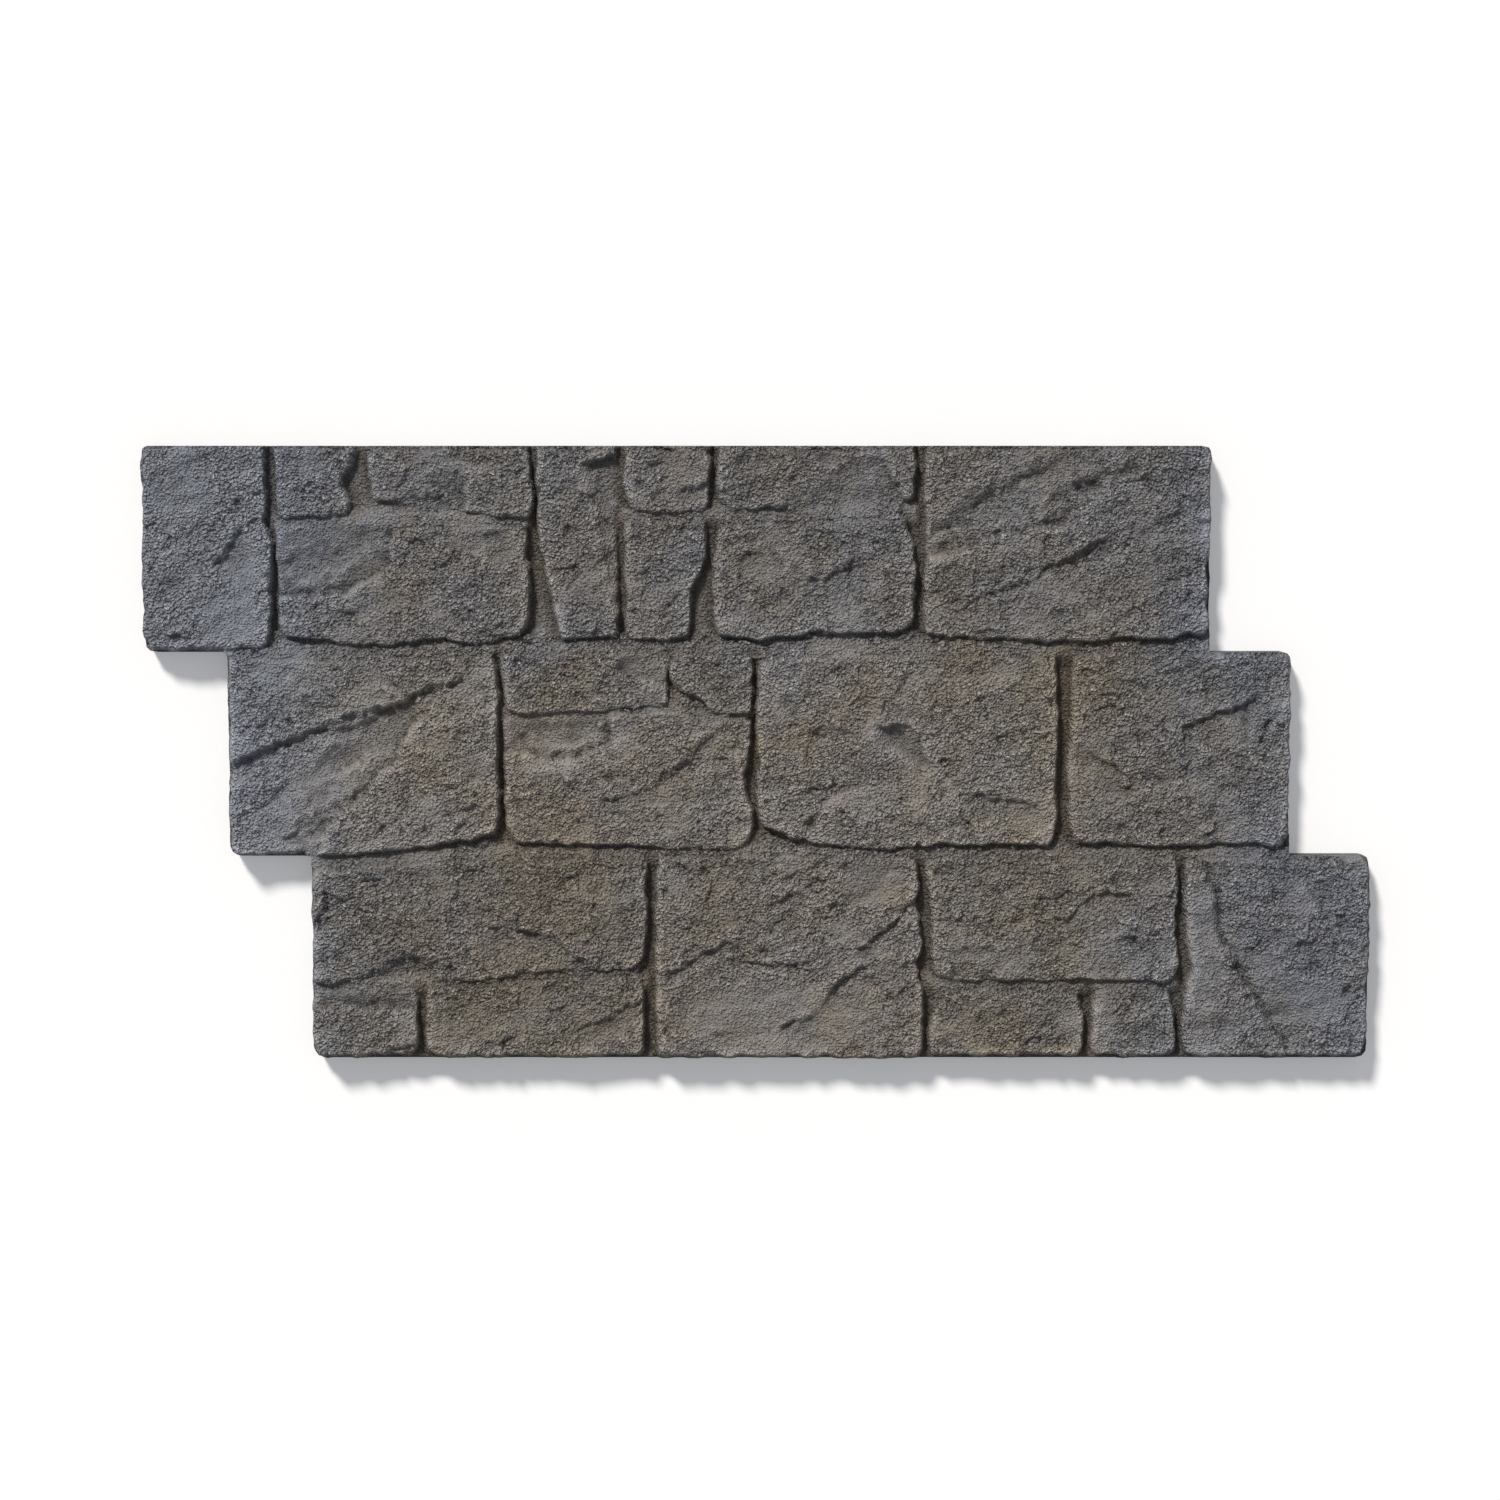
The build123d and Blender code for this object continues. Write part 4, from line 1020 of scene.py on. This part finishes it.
# Studio
def lay_floor():
    """A wide white floor, just under the panel's back."""
    half, down = 30.0, -0.0005
    mesh = bpy.data.meshes.new("floor")
    corners = [(-half, -half, down), (half, -half, down), (half, half, down), (-half, half, down)]
    mesh.from_pydata(corners, [], [(0, 1, 2, 3)])
    mesh.materials.append(floor_material())
    floor = bpy.data.objects.new("floor", mesh)
    bpy.context.scene.collection.objects.link(floor)


def light_room():
    """Even fill from a room that is white where it is seen, and one soft sun from above the top left."""
    world = bpy.data.worlds.new("soft_room")
    world.use_nodes = True
    tree = world.node_tree
    fill = tree.nodes["Background"]
    fill.inputs["Color"].default_value = (0.95, 0.98, 1.06, 1)
    fill.inputs["Strength"].default_value = 0.27
    white = node(tree, "ShaderNodeBackground", in_Color=WHITE)
    both = tree.nodes.new("ShaderNodeMixShader")
    feed(tree, both.inputs["Fac"], seen_directly(tree))
    feed(tree, both.inputs[1], fill.outputs[0])
    feed(tree, both.inputs[2], white.outputs[0])
    feed(tree, tree.nodes["World Output"].inputs["Surface"], both.outputs[0])
    bpy.context.scene.world = world

    key = bpy.data.lights.new("key", "SUN")
    key.energy = 3.6
    key.color = (1.0, 0.97, 0.93)
    key.angle = math.radians(10)
    lamp = bpy.data.objects.new("key", key)
    lamp.rotation_euler = Vector((0.42, -0.80, -0.66)).to_track_quat("-Z", "Y").to_euler()
    lamp.location = (-1.0, 2.5, 2.5)
    bpy.context.scene.collection.objects.link(lamp)


def place_camera():
    """The photograph's view: almost square on, tilted a little, from nearly three metres away."""
    tilt, away, frame_width = math.radians(4.6), 2.9, 1.4616
    target = Vector((-0.0088, 0.0049, 0.032))
    lens = bpy.data.cameras.new("camera")
    lens.sensor_width = 36
    lens.lens = 36 * away / frame_width
    camera = bpy.data.objects.new("camera", lens)
    camera.location = target + Vector((0, math.sin(tilt), math.cos(tilt))) * away
    camera.rotation_euler = (-tilt, 0, 0)
    bpy.context.scene.collection.objects.link(camera)
    bpy.context.scene.camera = camera
    bpy.context.scene.view_settings.view_transform = "Standard"


lay_floor()
light_room()
place_camera()
panel = build_panel()
panel.data.materials.clear()
panel.data.materials.append(stone_material())
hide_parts(NODE)
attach(panel, "root")
